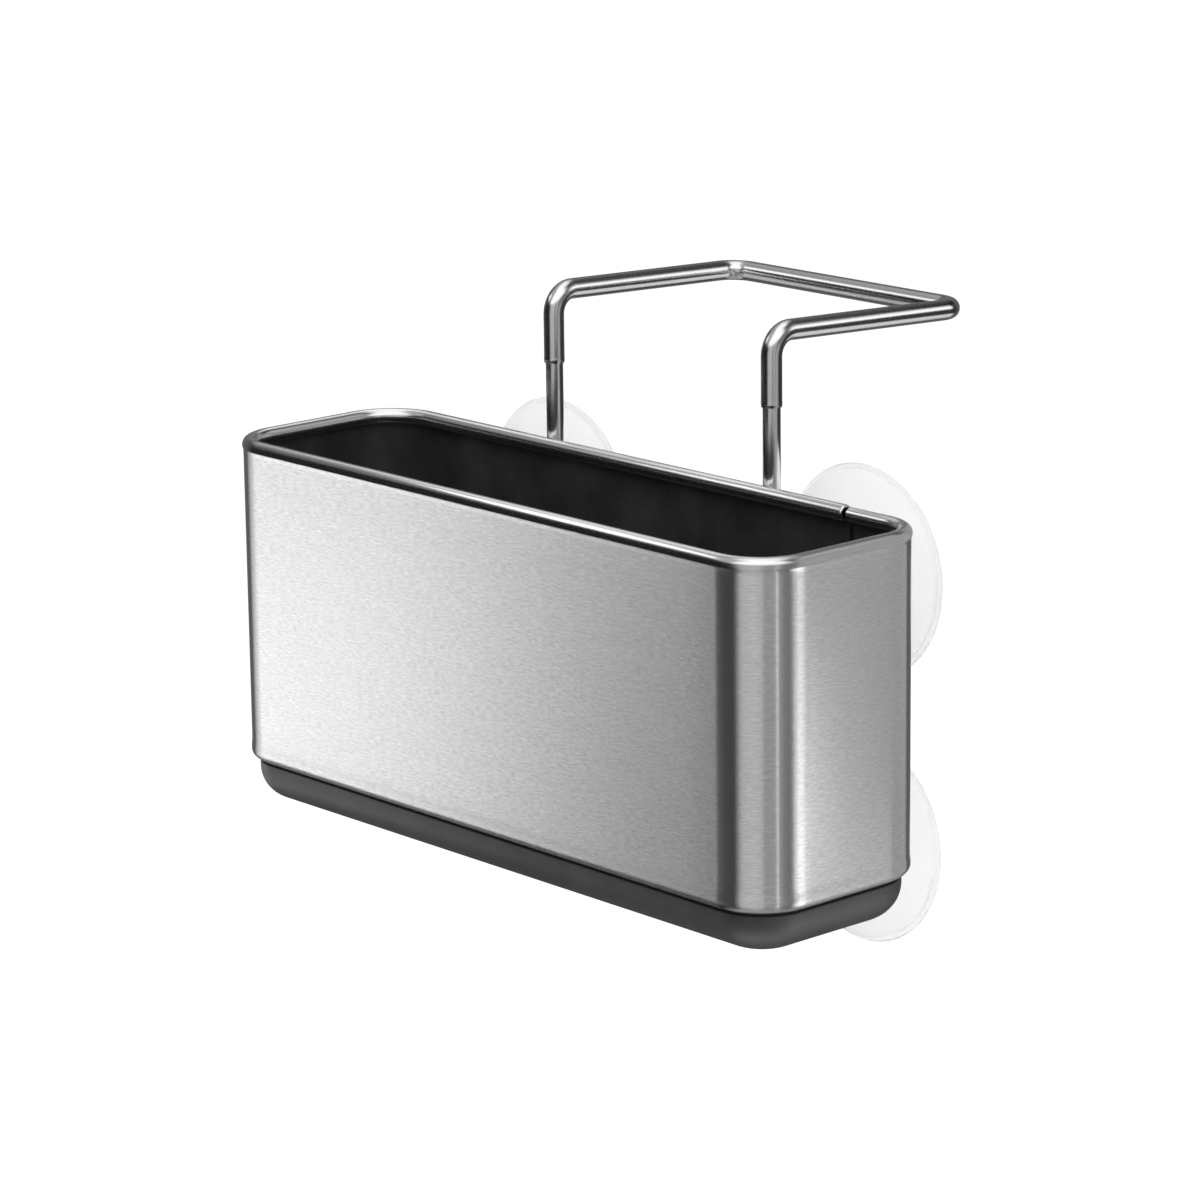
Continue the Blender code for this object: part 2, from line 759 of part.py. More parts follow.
def cup_profile():
    """A suction cup as (radius, distance from the wall), head first, down the outside and back up inside."""
    crown = -WIRE_Y - WIRE_RADIUS - GAP
    neck_top = -WIRE_Y + WIRE_RADIUS + GAP
    tip = neck_top + CUP_HEAD_HEIGHT
    lip = CUP_RADIUS - CUP_LIP
    hollow = crown - CUP_SKIN - CUP_SKIN
    head = [
        (0, tip),
        (CUP_HEAD_RADIUS / 2, tip),
        (CUP_HEAD_RADIUS, tip - CUP_HEAD_HEIGHT / 2),
        (CUP_HEAD_RADIUS, neck_top),
        (CUP_NECK_RADIUS, neck_top),
        (CUP_NECK_RADIUS, crown),
    ]
    outside = dome((CUP_SHOULDER_RADIUS, crown), (lip, CUP_EDGE + CUP_LIP), CUP_DOME_STEPS)
    edge = [(lip, CUP_EDGE), (CUP_RADIUS, CUP_EDGE), (CUP_RADIUS, 0)]
    inside = dome((0, hollow), (lip, 0), CUP_DOME_STEPS)
    return head + outside + edge + inside[::-1]


def add_cups(collection, material, parent):
    mesh = turned_mesh("suction_cup", cup_profile())
    for level, up in LEVELS.items():
        for word, side in SIDES.items():
            name = "cup_" + level + "_" + word
            cup = add_turned(name, mesh, CUP_STEPS, collection, material, parent)
            cup.location = (side * CUP_SPACING_X / 2, 0, up * CUP_SPACING_Z / 2)
            cup.rotation_euler = (math.pi / 2, 0, 0)


def add_seam_strip(collection, material, parent):
    """A strip spot welded over the seam, on the back wall's outside, with its top just under the rim."""
    half_width = SEAM_STRIP_WIDTH / 2
    half_length = SEAM_STRIP_LENGTH / 2
    reach_x = half_width - SEAM_STRIP_CORNER
    reach_z = half_length - SEAM_STRIP_CORNER
    outline = []
    for quarter, (x, z) in enumerate(((1, 1), (-1, 1), (-1, -1), (1, -1))):
        for angle in arc(quarter * math.pi / 2, (quarter + 1) * math.pi / 2, SLOT_STEPS):
            across = x * reach_x + SEAM_STRIP_CORNER * math.cos(angle)
            outline.append((across, z * reach_z + SEAM_STRIP_CORNER * math.sin(angle)))
    curve = flat_curve("seam_strip", [outline], SHEET)
    obj = add_object("seam_strip", curve, collection)
    middle_z = RIM_Z - RIM_RADIUS - RIM_RADIUS - SEAM_STRIP_BELOW_RIM - half_length
    obj.location = (SEAM_X, BACK_Y + GAP + SHEET / 2, middle_z)
    obj.rotation_euler = (math.pi / 2, 0, 0)
    strip = mesh_from_curve(obj, collection, parent)
    strip.data.materials.append(material)
    return strip


def build():
    clear_scene()
    caddy = new_collection("sink_caddy")
    cutters = new_collection("cutters")
    brushed = brushed_steel()
    polished = polished_steel()
    plain = plain_steel()
    white = nylon()
    body = add_empty("body_frame", (0, BACK_Y, FOOT_Z), caddy)
    neck = add_empty("neck_slide", (0, ROD_Y, MOUTH_Z), caddy)
    add_sleeve(caddy, brushed, body)
    add_base(caddy, cutters, base_plastic(), body)
    add_seam_strip(caddy, plain, body)
    add_guides(caddy, plain, white, body)
    add_saddles(caddy, plain, body)
    add_wires(caddy, plain, body)
    add_cups(caddy, clear_rubber(), body)
    add_rods(caddy, polished, white, neck)
    add_loop(caddy, polished, neck)


build()
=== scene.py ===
"""The looks of the slim sink caddy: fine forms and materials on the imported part, in a plain pale studio."""

import math
from itertools import accumulate

import bmesh
import bpy
from mathutils import Matrix, Vector

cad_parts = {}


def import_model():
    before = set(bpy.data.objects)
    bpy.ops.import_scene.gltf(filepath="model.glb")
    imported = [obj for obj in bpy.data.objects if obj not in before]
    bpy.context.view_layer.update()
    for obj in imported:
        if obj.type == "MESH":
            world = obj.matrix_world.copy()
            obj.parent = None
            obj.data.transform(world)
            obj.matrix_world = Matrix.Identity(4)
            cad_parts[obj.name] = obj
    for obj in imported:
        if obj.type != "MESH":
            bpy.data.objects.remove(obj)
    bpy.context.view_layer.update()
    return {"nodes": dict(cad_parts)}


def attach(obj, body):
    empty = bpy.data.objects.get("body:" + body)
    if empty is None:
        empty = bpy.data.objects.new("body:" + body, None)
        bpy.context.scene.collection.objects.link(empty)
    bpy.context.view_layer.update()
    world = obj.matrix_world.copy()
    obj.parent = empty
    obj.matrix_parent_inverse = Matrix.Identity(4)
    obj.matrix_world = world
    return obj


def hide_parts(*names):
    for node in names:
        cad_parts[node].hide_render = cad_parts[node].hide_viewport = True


# Sleeve
SLEEVE_WIDTH = 0.2200
SLEEVE_DEPTH = 0.0650
SLEEVE_HEIGHT = 0.0937
FRONT_CORNER_RADIUS = 0.0165
REAR_CORNER_RADIUS = 0.0178
SHEET = 0.0006
RIM_RADIUS = 0.0023
RIM_PROUD = 0.00031
RIM_END_ANGLE = math.radians(-95)
FOOT_RADIUS = 0.0024
FOOT_TURN = math.radians(70)
FOOT_PROUD = 0.0002
FOOT_FLARE = 0.0036
SEAM_FROM_END = 0.0315
SEAM_GAP = 0.0013
SEAM_STEP = 0.0005
SEAM_STRIP_WIDTH = 0.0120
SEAM_STRIP_LENGTH = 0.0842
SEAM_STRIP_BELOW_RIM = 0.0004
SEAM_STRIP_CORNER = 0.0020
WALL_BOW = 0.0002
RIM_COVE = 0.0045
CUT_ROUNDING = 0.0008
CUT_DEPTH = 0.00045

# Where the sleeve hangs from the cups
STANDOFF = 0.0209
CUP_SPACING_X = 0.1239
CUP_SPACING_Z = 0.0751
CUP_BELOW_FOOT = 0.0058

# Base
BASE_DROP = 0.0125
BASE_INSET = 0.0022
BASE_FILLET = 0.0095
BASE_WALL = 0.0023
SHOULDER_GAP = 0.0011
UPSTAND_INSET = 0.0030
UPSTAND_HEIGHT = 0.0090
SLOT_WIDTH = 0.0032
SLOT_LENGTH = 0.0150
SLOT_PITCH_X = 0.0250
SLOT_PITCH_Y = 0.0200
SLOT_COLUMNS = 7
RIB_WIDTH = 0.0016
RIB_HEIGHT = 0.0014
RIB_LENGTH = 0.0380
EDGE_SOFTENING = 0.0004

# Neck
ROD_SPACING = 0.0877
ROD_OFFSET = 0.0037
ROD_RADIUS = 0.00245
ROD_LENGTH = 0.1000
ROD_CHAMFER = 0.0003
ROD_SOCKET = 0.0095
NECK_OUT = 0.0247
GUIDE_RADIUS = 0.0032
GUIDE_WALL = 0.00035
GUIDE_BELOW_RIM = 0.0042
GUIDE_BELOW_FOOT = 0.0070
MOUTH_RADIUS = 0.0026
MOUTH_LENGTH = 0.0015
BUSH_LENGTH = 0.0120
TENON_RADIUS = 0.0016
TENON_HEAD_RADIUS = 0.0022
TENON_HEAD_LENGTH = 0.0008
PLUG_FLANGE = 0.0012
PLUG_SPIGOT = 0.0040
PLUG_CLEARANCE = 0.00015
TUBE_RADIUS = 0.0029
TUBE_WALL = 0.00028
LOOP_LEG = 0.0204
LOOP_REACH = 0.0717
LOOP_FALL = 0.0030
LOOP_SPLAY = 0.0009
BEND_RADIUS = 0.0065
CRIMP_LENGTH = 0.0010
CRIMP_SHARE = 0.985
BULGE_SHARE = 1.02

# Saddles, wires and cups
SADDLE_WIDTH = 0.0090
SADDLE_SHEET = 0.0008
SADDLE_EAR = 0.0070
SADDLE_BEND = 0.0012
SADDLE_HEIGHTS = {"upper": 0.0600, "lower": 0.0140}
SADDLE_CORNER = 0.0014
WELD_RADIUS = 0.0013
WELD_DEPTH = 0.00022
WIRE_RADIUS = 0.00175
EYE_TURN = math.radians(283)
CUP_RADIUS = 0.0294
CUP_LIP = 0.0014
CUP_NECK_RADIUS = 0.0034
CUP_HEAD_RADIUS = 0.0052
CUP_HEAD_HEIGHT = 0.0046
CUP_SHOULDER_RADIUS = 0.0080
CUP_SKIN = 0.0020
CUP_EDGE = 0.0006
GAP = 0.0003
OVERRUN = 0.0005
MERGE = 0.00001

# Fineness of the shown forms
CORNER_STEPS = 28
WALL_STEPS = 16
HEIGHT_STEPS = 12
RIM_STEPS = 36
COVE_STEPS = 8
BORE_STEPS = 18
FOOT_STEPS = 10
FLARE_STEPS = 6
FILLET_STEPS = 14
SLOT_STEPS = 10
TURN_STEPS = 56
CUP_STEPS = 112
DOME_STEPS = 14
BEND_STEPS = 20
EYE_STEPS = 48
CUT_STEPS = 5
EDGE_STEPS = 4
ROOT_STEPS = 5
HEAD_STEPS = 8
EAR_STEPS = 12
SADDLE_BEND_STEPS = 8
SADDLE_CROWN_STEPS = 24
SADDLE_ROWS = 16
STRIP_COLUMNS = 40
STRIP_ROWS = 260
TUBE_RESOLUTION = 12
SHARP_ANGLE = math.radians(38)
SOFT_EDGE_SHARE = 0.2

# Places worked out from the sizes above
BACK_Y = -STANDOFF
SEAM_X = SLEEVE_WIDTH / 2 - SEAM_FROM_END
FRONT_Y = BACK_Y - SLEEVE_DEPTH
FOOT_Z = CUP_BELOW_FOOT - CUP_SPACING_Z / 2
RIM_Z = FOOT_Z + SLEEVE_HEIGHT
BASE_Z = FOOT_Z - BASE_DROP
FLOOR_Z = BASE_Z + BASE_WALL
SHOULDER_Z = FOOT_Z - SHOULDER_GAP
ROD_Y = BACK_Y + ROD_OFFSET
MOUTH_Z = RIM_Z - GUIDE_BELOW_RIM
GUIDE_Z = FOOT_Z - GUIDE_BELOW_FOOT
LOOP_END_Z = MOUTH_Z + NECK_OUT
LOOP_Z = LOOP_END_Z + LOOP_LEG
ROD_TOP_Z = LOOP_END_Z + ROD_SOCKET
SHOULDER_LENGTH = ROD_LENGTH - BUSH_LENGTH - TENON_HEAD_LENGTH - GAP
GUIDE_BORE = GUIDE_RADIUS - GUIDE_WALL
WIRE_Y = ROD_Y + GUIDE_RADIUS + GAP + WIRE_RADIUS
EYE_RADIUS = CUP_NECK_RADIUS + GAP + WIRE_RADIUS
SIDES = {"left": -1, "right": 1}
LEVELS = {"upper": 1, "lower": -1}

# Camera, found by fitting the part's edges to the photograph
VIEW_AZIMUTH = math.radians(48.070514)
VIEW_ELEVATION = math.radians(14.125161)
VIEW_ROLL = math.radians(-0.695131)
VIEW_TARGET = Vector((0, -0.05337237, 0.01510303))
VIEW_DISTANCE = 1.25805966
VIEW_RIGHT = 0.00864173
VIEW_UP = 0.01291327
LENS = 138.76506
SENSOR = 36
CLIP_START = 0.05
CLIP_END = 50


# Shapes


def add_object(name, data):
    obj = bpy.data.objects.new(name, data)
    bpy.context.scene.collection.objects.link(obj)
    return obj


def smooth(mesh):
    mesh.shade_smooth()
    mesh.set_sharp_from_angle(angle=SHARP_ANGLE)


def arc(start, end, steps):
    """Angles or other values from start to end, both included."""
    return [start + (end - start) * step / steps for step in range(steps + 1)]


def quarter(start, end, steps, level):
    """A quarter ellipse between two (across, up) points, which leaves the first one level or else upright."""
    (start_x, start_z), (end_x, end_z) = start, end
    points = []
    for angle in arc(0, math.pi / 2, steps):
        run, rise = math.sin(angle), 1 - math.cos(angle)
        if not level:
            run, rise = rise, run
        points.append((start_x + (end_x - start_x) * run, start_z + (end_z - start_z) * rise))
    return points


def object_from(name, shape):
    """A new object with a bmesh as its mesh, shaded smooth."""
    bmesh.ops.recalc_face_normals(shape, faces=shape.faces)
    mesh = bpy.data.meshes.new(name)
    shape.to_mesh(mesh)
    shape.free()
    smooth(mesh)
    return add_object(name, mesh)


def corner_stations(side, rear):
    """Points and outward normals round one corner of the sleeve, counter-clockwise seen from above."""
    radius = REAR_CORNER_RADIUS if rear else FRONT_CORNER_RADIUS
    centre_y = BACK_Y - radius if rear else FRONT_Y + radius
    centre = Vector((side * (SLEEVE_WIDTH / 2 - radius), centre_y, 0))
    turns = {(1, True): 0, (-1, True): 1, (-1, False): 2, (1, False): 3}[(side, rear)]
    angles = arc(turns * math.pi / 2, (turns + 1) * math.pi / 2, CORNER_STEPS)
    normals = [Vector((math.cos(angle), math.sin(angle), 0)) for angle in angles]
    return [(centre + radius * normal, normal) for normal in normals]


def plan_stations(wall_steps=1):
    """The sleeve's plan as (point, normal, share along a wall), round from the back's left corner."""
    corners = [corner_stations(*corner) for corner in ((-1, True), (-1, False), (1, False), (1, True))]
    stations = []
    for corner, following in zip(corners, corners[1:] + [None]):
        stations += [(point, normal, 0) for point, normal in corner]
        if following is None:
            continue
        start, normal = corner[-1]
        end = following[0][0]
        for step in range(1, wall_steps):
            share = step / wall_steps
            stations.append((start.lerp(end, share), normal, share))
    return stations


def sleeve_sections(drop, worn=0):
    """The sections of the band below the rim and of the rim, as closed (inset, height, climb, slot) points.

    The climb is the share of the way up the straight wall, worn is how far a cut end is rounded away, and
    the slot is the material of the face that follows: 0 on the outside, 1 on the inside, painted dark as
    shade.
    """
    rim_radius = RIM_RADIUS - drop / 2
    centre_inset = rim_radius - RIM_PROUD
    centre_z = RIM_Z - drop - rim_radius
    foot_centre_z = FOOT_Z + FOOT_RADIUS * math.sin(FOOT_TURN)
    foot_inset = FOOT_RADIUS - FOOT_PROUD
    bore = rim_radius - SHEET
    lean = math.acos((centre_inset + RIM_COVE) / (rim_radius + RIM_COVE))
    inner_end = math.pi + math.acos((centre_inset - SHEET) / bore)
    wall_start = foot_centre_z + FOOT_FLARE
    wall_end = centre_z - (rim_radius + RIM_COVE) * math.sin(lean)
    inner_top = centre_z + bore * math.sin(inner_end)
    shares = [step / FLARE_STEPS for step in range(1, FLARE_STEPS + 1)]
    climbs = [step / HEIGHT_STEPS for step in range(1, HEIGHT_STEPS)]

    def foot(radius, angle):
        return (foot_inset - radius * math.cos(angle), foot_centre_z - radius * math.sin(angle))

    def flare(wall, share):
        eased = FOOT_PROUD * (1 - share * share * (3 - share - share))
        return (wall - eased, foot_centre_z + FOOT_FLARE * share)

    def cove(angle):
        return (worn - RIM_COVE * (1 - math.cos(angle)), wall_end + RIM_COVE * math.sin(angle))

    def rim(radius, angle):
        return (centre_inset + radius * math.cos(angle), centre_z + radius * math.sin(angle))

    def level(start, end, climb):
        return start + (end - start) * climb

    band = [(*foot(FOOT_RADIUS - worn, angle), 0, 0) for angle in arc(FOOT_TURN, 0, FOOT_STEPS)]
    band += [(*flare(worn, share), 0, 0) for share in shares]
    band += [(worn, level(wall_start, wall_end, climb), climb, 0) for climb in climbs]
    band += [(*cove(angle), 0, 0) for angle in arc(0, lean, COVE_STEPS)]
    band += [(SHEET, inner_top, 0, 1)]
    band += [(SHEET, level(inner_top, wall_start, climb), 1 - climb, 1) for climb in climbs]
    band += [(*flare(SHEET, share), 0, 1) for share in reversed(shares)]
    band += [(*foot(FOOT_RADIUS - SHEET, angle), 0, 1) for angle in arc(0, FOOT_TURN, FOOT_STEPS)]
    around = arc(math.pi + lean, RIM_END_ANGLE, RIM_STEPS)
    rolled = [(*rim(rim_radius - worn, angle), 0, 0) for angle in around]
    rolled += [(*rim(bore, angle), 0, 1) for angle in arc(RIM_END_ANGLE, inner_end, BORE_STEPS)]
    return band, rolled


def bow(share, climb):
    """How far a straight wall stands out between its corners, the rim and the foot."""
    return WALL_BOW * 4 * share * (1 - share) * math.sqrt(math.sin(math.pi * climb))


def sleeve_stations():
    """The band's stations as (point, normal, share along a wall, drop, worn), from the seam round to it."""
    back = Vector((0, 1, 0))
    cut_x = SEAM_X - SEAM_GAP / 2
    cut = quarter((cut_x, CUT_DEPTH), (cut_x - CUT_ROUNDING, 0), CUT_STEPS, False)
    stations = [(Vector((x, BACK_Y, 0)), back, 0, 0, worn) for x, worn in cut]
    around = plan_stations(WALL_STEPS)
    drops = [0] * (len(around) - CORNER_STEPS) + arc(0, SEAM_STEP, CORNER_STEPS)
    stations += [(*station, drop, 0) for station, drop in zip(around, drops)]
    stations.append((Vector((SEAM_X + SEAM_GAP / 2, BACK_Y, 0)), back, 0, SEAM_STEP, 0))
    return stations


def sleeve_object(name, which):
    """The band below its rim (0) or the rim (1), with the grain's UV in metres: u along, v up the section."""
    stations = sleeve_stations()
    section = sleeve_sections(0)[which]
    count = len(section)
    strides = [(after[0] - before[0]).length for before, after in zip(stations, stations[1:])]
    rises = [math.dist(before[:2], after[:2]) for before, after in zip(section, section[1:] + section[:1])]
    along = [0, *accumulate(strides)]
    up = [0, *accumulate(rises)]
    shape = bmesh.new()
    grain = shape.loops.layers.uv.new("grain")
    rings = []
    for point, normal, share, drop, worn in stations:
        spots = [
            place(point, normal, inset - bow(share, climb), height)
            for inset, height, climb, _ in sleeve_sections(drop, worn)[which]
        ]
        rings.append([shape.verts.new(spot) for spot in spots])
    for row in range(len(rings) - 1):
        for i in range(count):
            j = (i + 1) % count
            face = shape.faces.new((rings[row][i], rings[row][j], rings[row + 1][j], rings[row + 1][i]))
            # Slot 1, the inner faces, takes the dark material that paints the shade inside the sleeve.
            face.material_index = section[i][3]
            spots = ((row, i), (row, i + 1), (row + 1, i + 1), (row + 1, i))
            for corner, (station, height) in zip(face.loops, spots):
                corner[grain].uv = (along[station], up[height])
    shape.faces.new(rings[0])
    shape.faces.new(rings[-1][::-1])
    return object_from(name, shape)


def place(point, normal, inset, height):
    return point - inset * normal + Vector((0, 0, height))


def rounded(corners, radius):
    """A section with its corners rounded, as (inset, height) points; a corner marked False stays sharp."""
    points = []
    count = len(corners)
    for i, (x, z, soft) in enumerate(corners):
        corner = Vector((x, z))
        if not soft:
            points.append(corner)
            continue
        before = (Vector(corners[i - 1][:2]) - corner).normalized()
        after = (Vector(corners[(i + 1) % count][:2]) - corner).normalized()
        for share in arc(0, 1, EDGE_STEPS):
            start = corner + before * radius
            end = corner + after * radius
            points.append(start.lerp(corner, share).lerp(corner.lerp(end, share), share))
    return points


def base_section():
    """The tray's section, from the middle of its fillet up the outside, over the upstand and down inside."""
    turn_inset = BASE_INSET + BASE_FILLET
    turn_z = BASE_Z + BASE_FILLET
    inner_inset = BASE_INSET + BASE_WALL
    upstand_z = FOOT_Z + UPSTAND_HEIGHT
    outer = quarter((turn_inset, BASE_Z), (BASE_INSET, turn_z), FILLET_STEPS, True)
    inner = quarter((inner_inset, turn_z), (turn_inset, FLOOR_Z), FILLET_STEPS, False)
    section = [(*point, False) for point in outer]
    section += [(BASE_INSET, SHOULDER_Z, True), (UPSTAND_INSET, SHOULDER_Z, False)]
    section += [(UPSTAND_INSET, upstand_z, True), (inner_inset, upstand_z, True)]
    section += [(*point, False) for point in inner]
    return rounded(section, EDGE_SOFTENING)


def loft(shape, loops):
    """Adds a solid through closed loops of equal length to a bmesh, with the first and last loop filled."""
    rings = [[shape.verts.new(point) for point in loop] for loop in loops]
    for ring, following in zip(rings, rings[1:]):
        for i, vert in enumerate(ring):
            j = (i + 1) % len(ring)
            shape.faces.new((vert, ring[j], following[j], following[i]))
    shape.faces.new(rings[0])
    shape.faces.new(rings[-1])


def slot_outline(centre_x, centre_y, width, length):
    """A slot with round ends, its length along Y, as points in the XY plane."""
    radius = width / 2
    reach = length / 2 - radius
    points = []
    for end, start in ((1, 0), (-1, math.pi)):
        for angle in arc(start, start + math.pi, SLOT_STEPS):
            x = centre_x + radius * math.cos(angle)
            points.append((x, centre_y + end * reach + radius * math.sin(angle)))
    return points


def prism(shape, outline, low, high):
    """Adds a prism over an outline in the XY plane to a bmesh."""
    loft(shape, [[(x, y, z) for x, y in outline] for z in (low, high)])


def evaluated_mesh(obj):
    """The object's mesh with its modifiers or bevel worked in; the object itself is removed."""
    bpy.context.view_layer.update()
    mesh = bpy.data.meshes.new_from_object(obj.evaluated_get(bpy.context.evaluated_depsgraph_get()))
    bpy.data.objects.remove(obj, do_unlink=True)
    return mesh


def applied(obj):
    """A new object of the same name, with the modifiers worked into its mesh."""
    name = obj.name
    mesh = evaluated_mesh(obj)
    mesh.name = name
    smooth(mesh)
    return add_object(name, mesh)


def base_object():
    stations = plan_stations()
    loops = [
        [place(point, normal, inset, height) for point, normal, _ in stations]
        for inset, height in base_section()
    ]
    tray = bmesh.new()
    loft(tray, loops)
    base = object_from("base_tray", tray)
    middle_y = (FRONT_Y + BACK_Y) / 2
    first = -SLOT_PITCH_X * (SLOT_COLUMNS - 1) / 2
    slots = bmesh.new()
    for column in range(SLOT_COLUMNS):
        for row in (-1, 1):
            x = first + SLOT_PITCH_X * column
            outline = slot_outline(x, middle_y + row * SLOT_PITCH_Y / 2, SLOT_WIDTH, SLOT_LENGTH)
            prism(slots, outline, BASE_Z - OVERRUN, FLOOR_Z + OVERRUN)
    ribs = bmesh.new()
    for column in range(SLOT_COLUMNS + 1):
        x = SLOT_PITCH_X * (column - SLOT_COLUMNS / 2)
        outline = slot_outline(x, middle_y, RIB_WIDTH, RIB_LENGTH)
        prism(ribs, outline, FLOOR_Z - OVERRUN, FLOOR_Z + RIB_HEIGHT)
    cutters = []
    for name, shape, operation in (("ribs", ribs, "UNION"), ("slots", slots, "DIFFERENCE")):
        cutter = object_from(name, shape)
        cutters.append(cutter)
        modifier = base.modifiers.new(name, "BOOLEAN")
        modifier.operation = operation
        modifier.solver = "EXACT"
        modifier.object = cutter
    base = applied(base)
    for cutter in cutters:
        bpy.data.objects.remove(cutter, do_unlink=True)
    return base


def turned(name, profile, centre, steps=TURN_STEPS, closed=False, upright=True):
    """A profile of (radius, height) points turned round an axis through the centre, up or out of the wall."""
    shape = bmesh.new()
    rings = []
    for radius, height in profile:
        turns = arc(0, math.tau, steps)[:-1] if radius else [0]
        rings.append([shape.verts.new((radius * math.cos(t), radius * math.sin(t), height)) for t in turns])
    pairs = list(zip(rings, rings[1:]))
    if closed:
        pairs.append((rings[-1], rings[0]))
    for ring, following in pairs:
        for i in range(steps):
            j = (i + 1) % steps
            corners = [ring[i % len(ring)], ring[j % len(ring)]]
            corners += [following[j % len(following)], following[i % len(following)]]
            corners = list(dict.fromkeys(corners))
            if len(corners) > 2:
                shape.faces.new(corners)
    turn = Matrix.Identity(4) if upright else Matrix.Rotation(math.pi / 2, 4, "X")
    bmesh.ops.transform(shape, matrix=Matrix.Translation(centre) @ turn, verts=shape.verts)
    return object_from(name, shape)


def tube_curve(name, path, radius, capped):
    curve = bpy.data.curves.new(name, "CURVE")
    curve.dimensions = "3D"
    curve.bevel_depth = radius
    curve.bevel_resolution = TUBE_RESOLUTION
    curve.use_fill_caps = capped
    spline = curve.splines.new("POLY")
    spline.points.add(len(path) - 1)
    for point, spot in zip(spline.points, path):
        point.co = (*spot, 1)
    return curve


def tube_mesh(name, curve, wall=0):
    """The curve's swept surface as a mesh, with its caps welded and, for a tube, its wall grown inward."""
    shape = bmesh.new()
    shape.from_mesh(evaluated_mesh(add_object(name, curve)))
    bmesh.ops.remove_doubles(shape, verts=shape.verts, dist=MERGE)
    made = object_from(name, shape)
    if wall:
        modifier = made.modifiers.new("wall", "SOLIDIFY")
        modifier.thickness = wall
        modifier.offset = -1
        made = applied(made)
    return made


def mirrored(points):
    """The right half of a path whose left half is given, from the middle outward."""
    return [Vector((-point.x, point.y, point.z)) for point in reversed(points)]


def filleted(corners, radius, steps):
    """A path through corner points, with each inner corner replaced by an arc."""
    path = [corners[0]]
    for before, corner, after in zip(corners, corners[1:], corners[2:]):
        incoming = (corner - before).normalized()
        outgoing = (after - corner).normalized()
        turn = incoming.angle(outgoing)
        start = corner - incoming * radius * math.tan(turn / 2)
        inward = (outgoing - incoming * math.cos(turn)).normalized()
        centre = start + inward * radius
        for angle in arc(0, turn, steps):
            path.append(centre - inward * radius * math.cos(angle) + incoming * radius * math.sin(angle))
    path.append(corners[-1])
    return path


def loop_object():
    """The loop's tube, each end crimped onto a rod behind a slight bulge."""
    front = ROD_SPACING / 2
    rear = front + LOOP_SPLAY
    rear_y = ROD_Y + LOOP_REACH
    rear_z = LOOP_Z - LOOP_FALL
    left = [
        Vector((-front, ROD_Y, LOOP_END_Z)),
        Vector((-front, ROD_Y, LOOP_Z)),
        Vector((-rear, rear_y, rear_z)),
    ]
    path = filleted(left + mirrored(left), BEND_RADIUS, BEND_STEPS)
    lift_shares = (0, 0.3, 0.6, 0.9, 1.2, 1.6, 2, 2.5)
    lifts = [Vector((0, 0, CRIMP_LENGTH * share)) for share in lift_shares]
    swell = BULGE_SHARE - CRIMP_SHARE
    shares = [CRIMP_SHARE + swell * math.sin(math.pi * min(lift, 2) / 2) ** 2 for lift in lift_shares]
    shares = [max(share, 1) if lift > 1 else share for share, lift in zip(shares, lift_shares)]
    left_end = [path[0] + lift for lift in lifts]
    right_end = [path[-1] + lift for lift in reversed(lifts)]
    curve = tube_curve("loop_tube", left_end + path[1:-1] + right_end, TUBE_RADIUS, False)
    points = curve.splines[0].points
    for i, share in enumerate(shares):
        points[i].radius = share
        points[-1 - i].radius = share
    return tube_mesh("loop_tube", curve, TUBE_WALL)


def rod_object(word, x):
    head_z = SHOULDER_LENGTH + BUSH_LENGTH + GAP
    profile = [
        (0, 0),
        (ROD_RADIUS - ROD_CHAMFER, 0),
        (ROD_RADIUS, -ROD_CHAMFER),
        (ROD_RADIUS, -SHOULDER_LENGTH),
        (TENON_RADIUS, -SHOULDER_LENGTH),
        (TENON_RADIUS, -head_z),
        (TENON_HEAD_RADIUS, -head_z),
        (TENON_HEAD_RADIUS, -ROD_LENGTH),
        (0, -ROD_LENGTH),
    ]
    return turned("slide_rod_" + word, profile, Vector((x, ROD_Y, ROD_TOP_Z)))


def guide_object(word, x):
    """A tube with its mouth rolled in over the bush."""
    length = MOUTH_Z - GUIDE_Z
    profile = [
        (MOUTH_RADIUS, 0),
        *quarter((MOUTH_RADIUS + GUIDE_WALL, 0), (GUIDE_RADIUS, -MOUTH_LENGTH), SLOT_STEPS, True),
        (GUIDE_RADIUS, -length),
        (GUIDE_BORE, -length),
        (GUIDE_BORE, -MOUTH_LENGTH - GUIDE_WALL),
        (MOUTH_RADIUS, -MOUTH_LENGTH),
    ]
    return turned("guide_" + word, profile, Vector((x, ROD_Y, MOUTH_Z)), closed=True)


def plug_object(word, x):
    spigot = GUIDE_BORE - PLUG_CLEARANCE
    edge_start = (GUIDE_RADIUS, ROD_CHAMFER - PLUG_FLANGE)
    edge_end = (GUIDE_RADIUS - ROD_CHAMFER, -PLUG_FLANGE)
    profile = [
        (0, PLUG_SPIGOT),
        (spigot - ROD_CHAMFER, PLUG_SPIGOT),
        (spigot, PLUG_SPIGOT - ROD_CHAMFER),
        (spigot, 0),
        (GUIDE_RADIUS, 0),
        *quarter(edge_start, edge_end, EDGE_STEPS, False),
        (0, -PLUG_FLANGE),
    ]
    return turned("end_plug_" + word, profile, Vector((x, ROD_Y, GUIDE_Z - GAP)))


def dent(shape, centres, axis_y):
    """Presses the shallow round dimple of a spot weld into a face whose outside looks along +Y."""
    for vert in shape.verts:
        if vert.co.y < axis_y - MERGE:
            continue
        for x, z in centres:
            away = math.hypot(vert.co.x - x, vert.co.z - z) / WELD_RADIUS
            if away < 1:
                vert.co.y -= WELD_DEPTH * (1 - away * away) ** 2


def drawn_in(up, half, radius):
    """How far a plate's edge draws in at a height up from its middle, which rounds its corners."""
    over = max(abs(up) - (half - radius), 0)
    return radius - math.sqrt(max(radius**2 - over**2, 0))


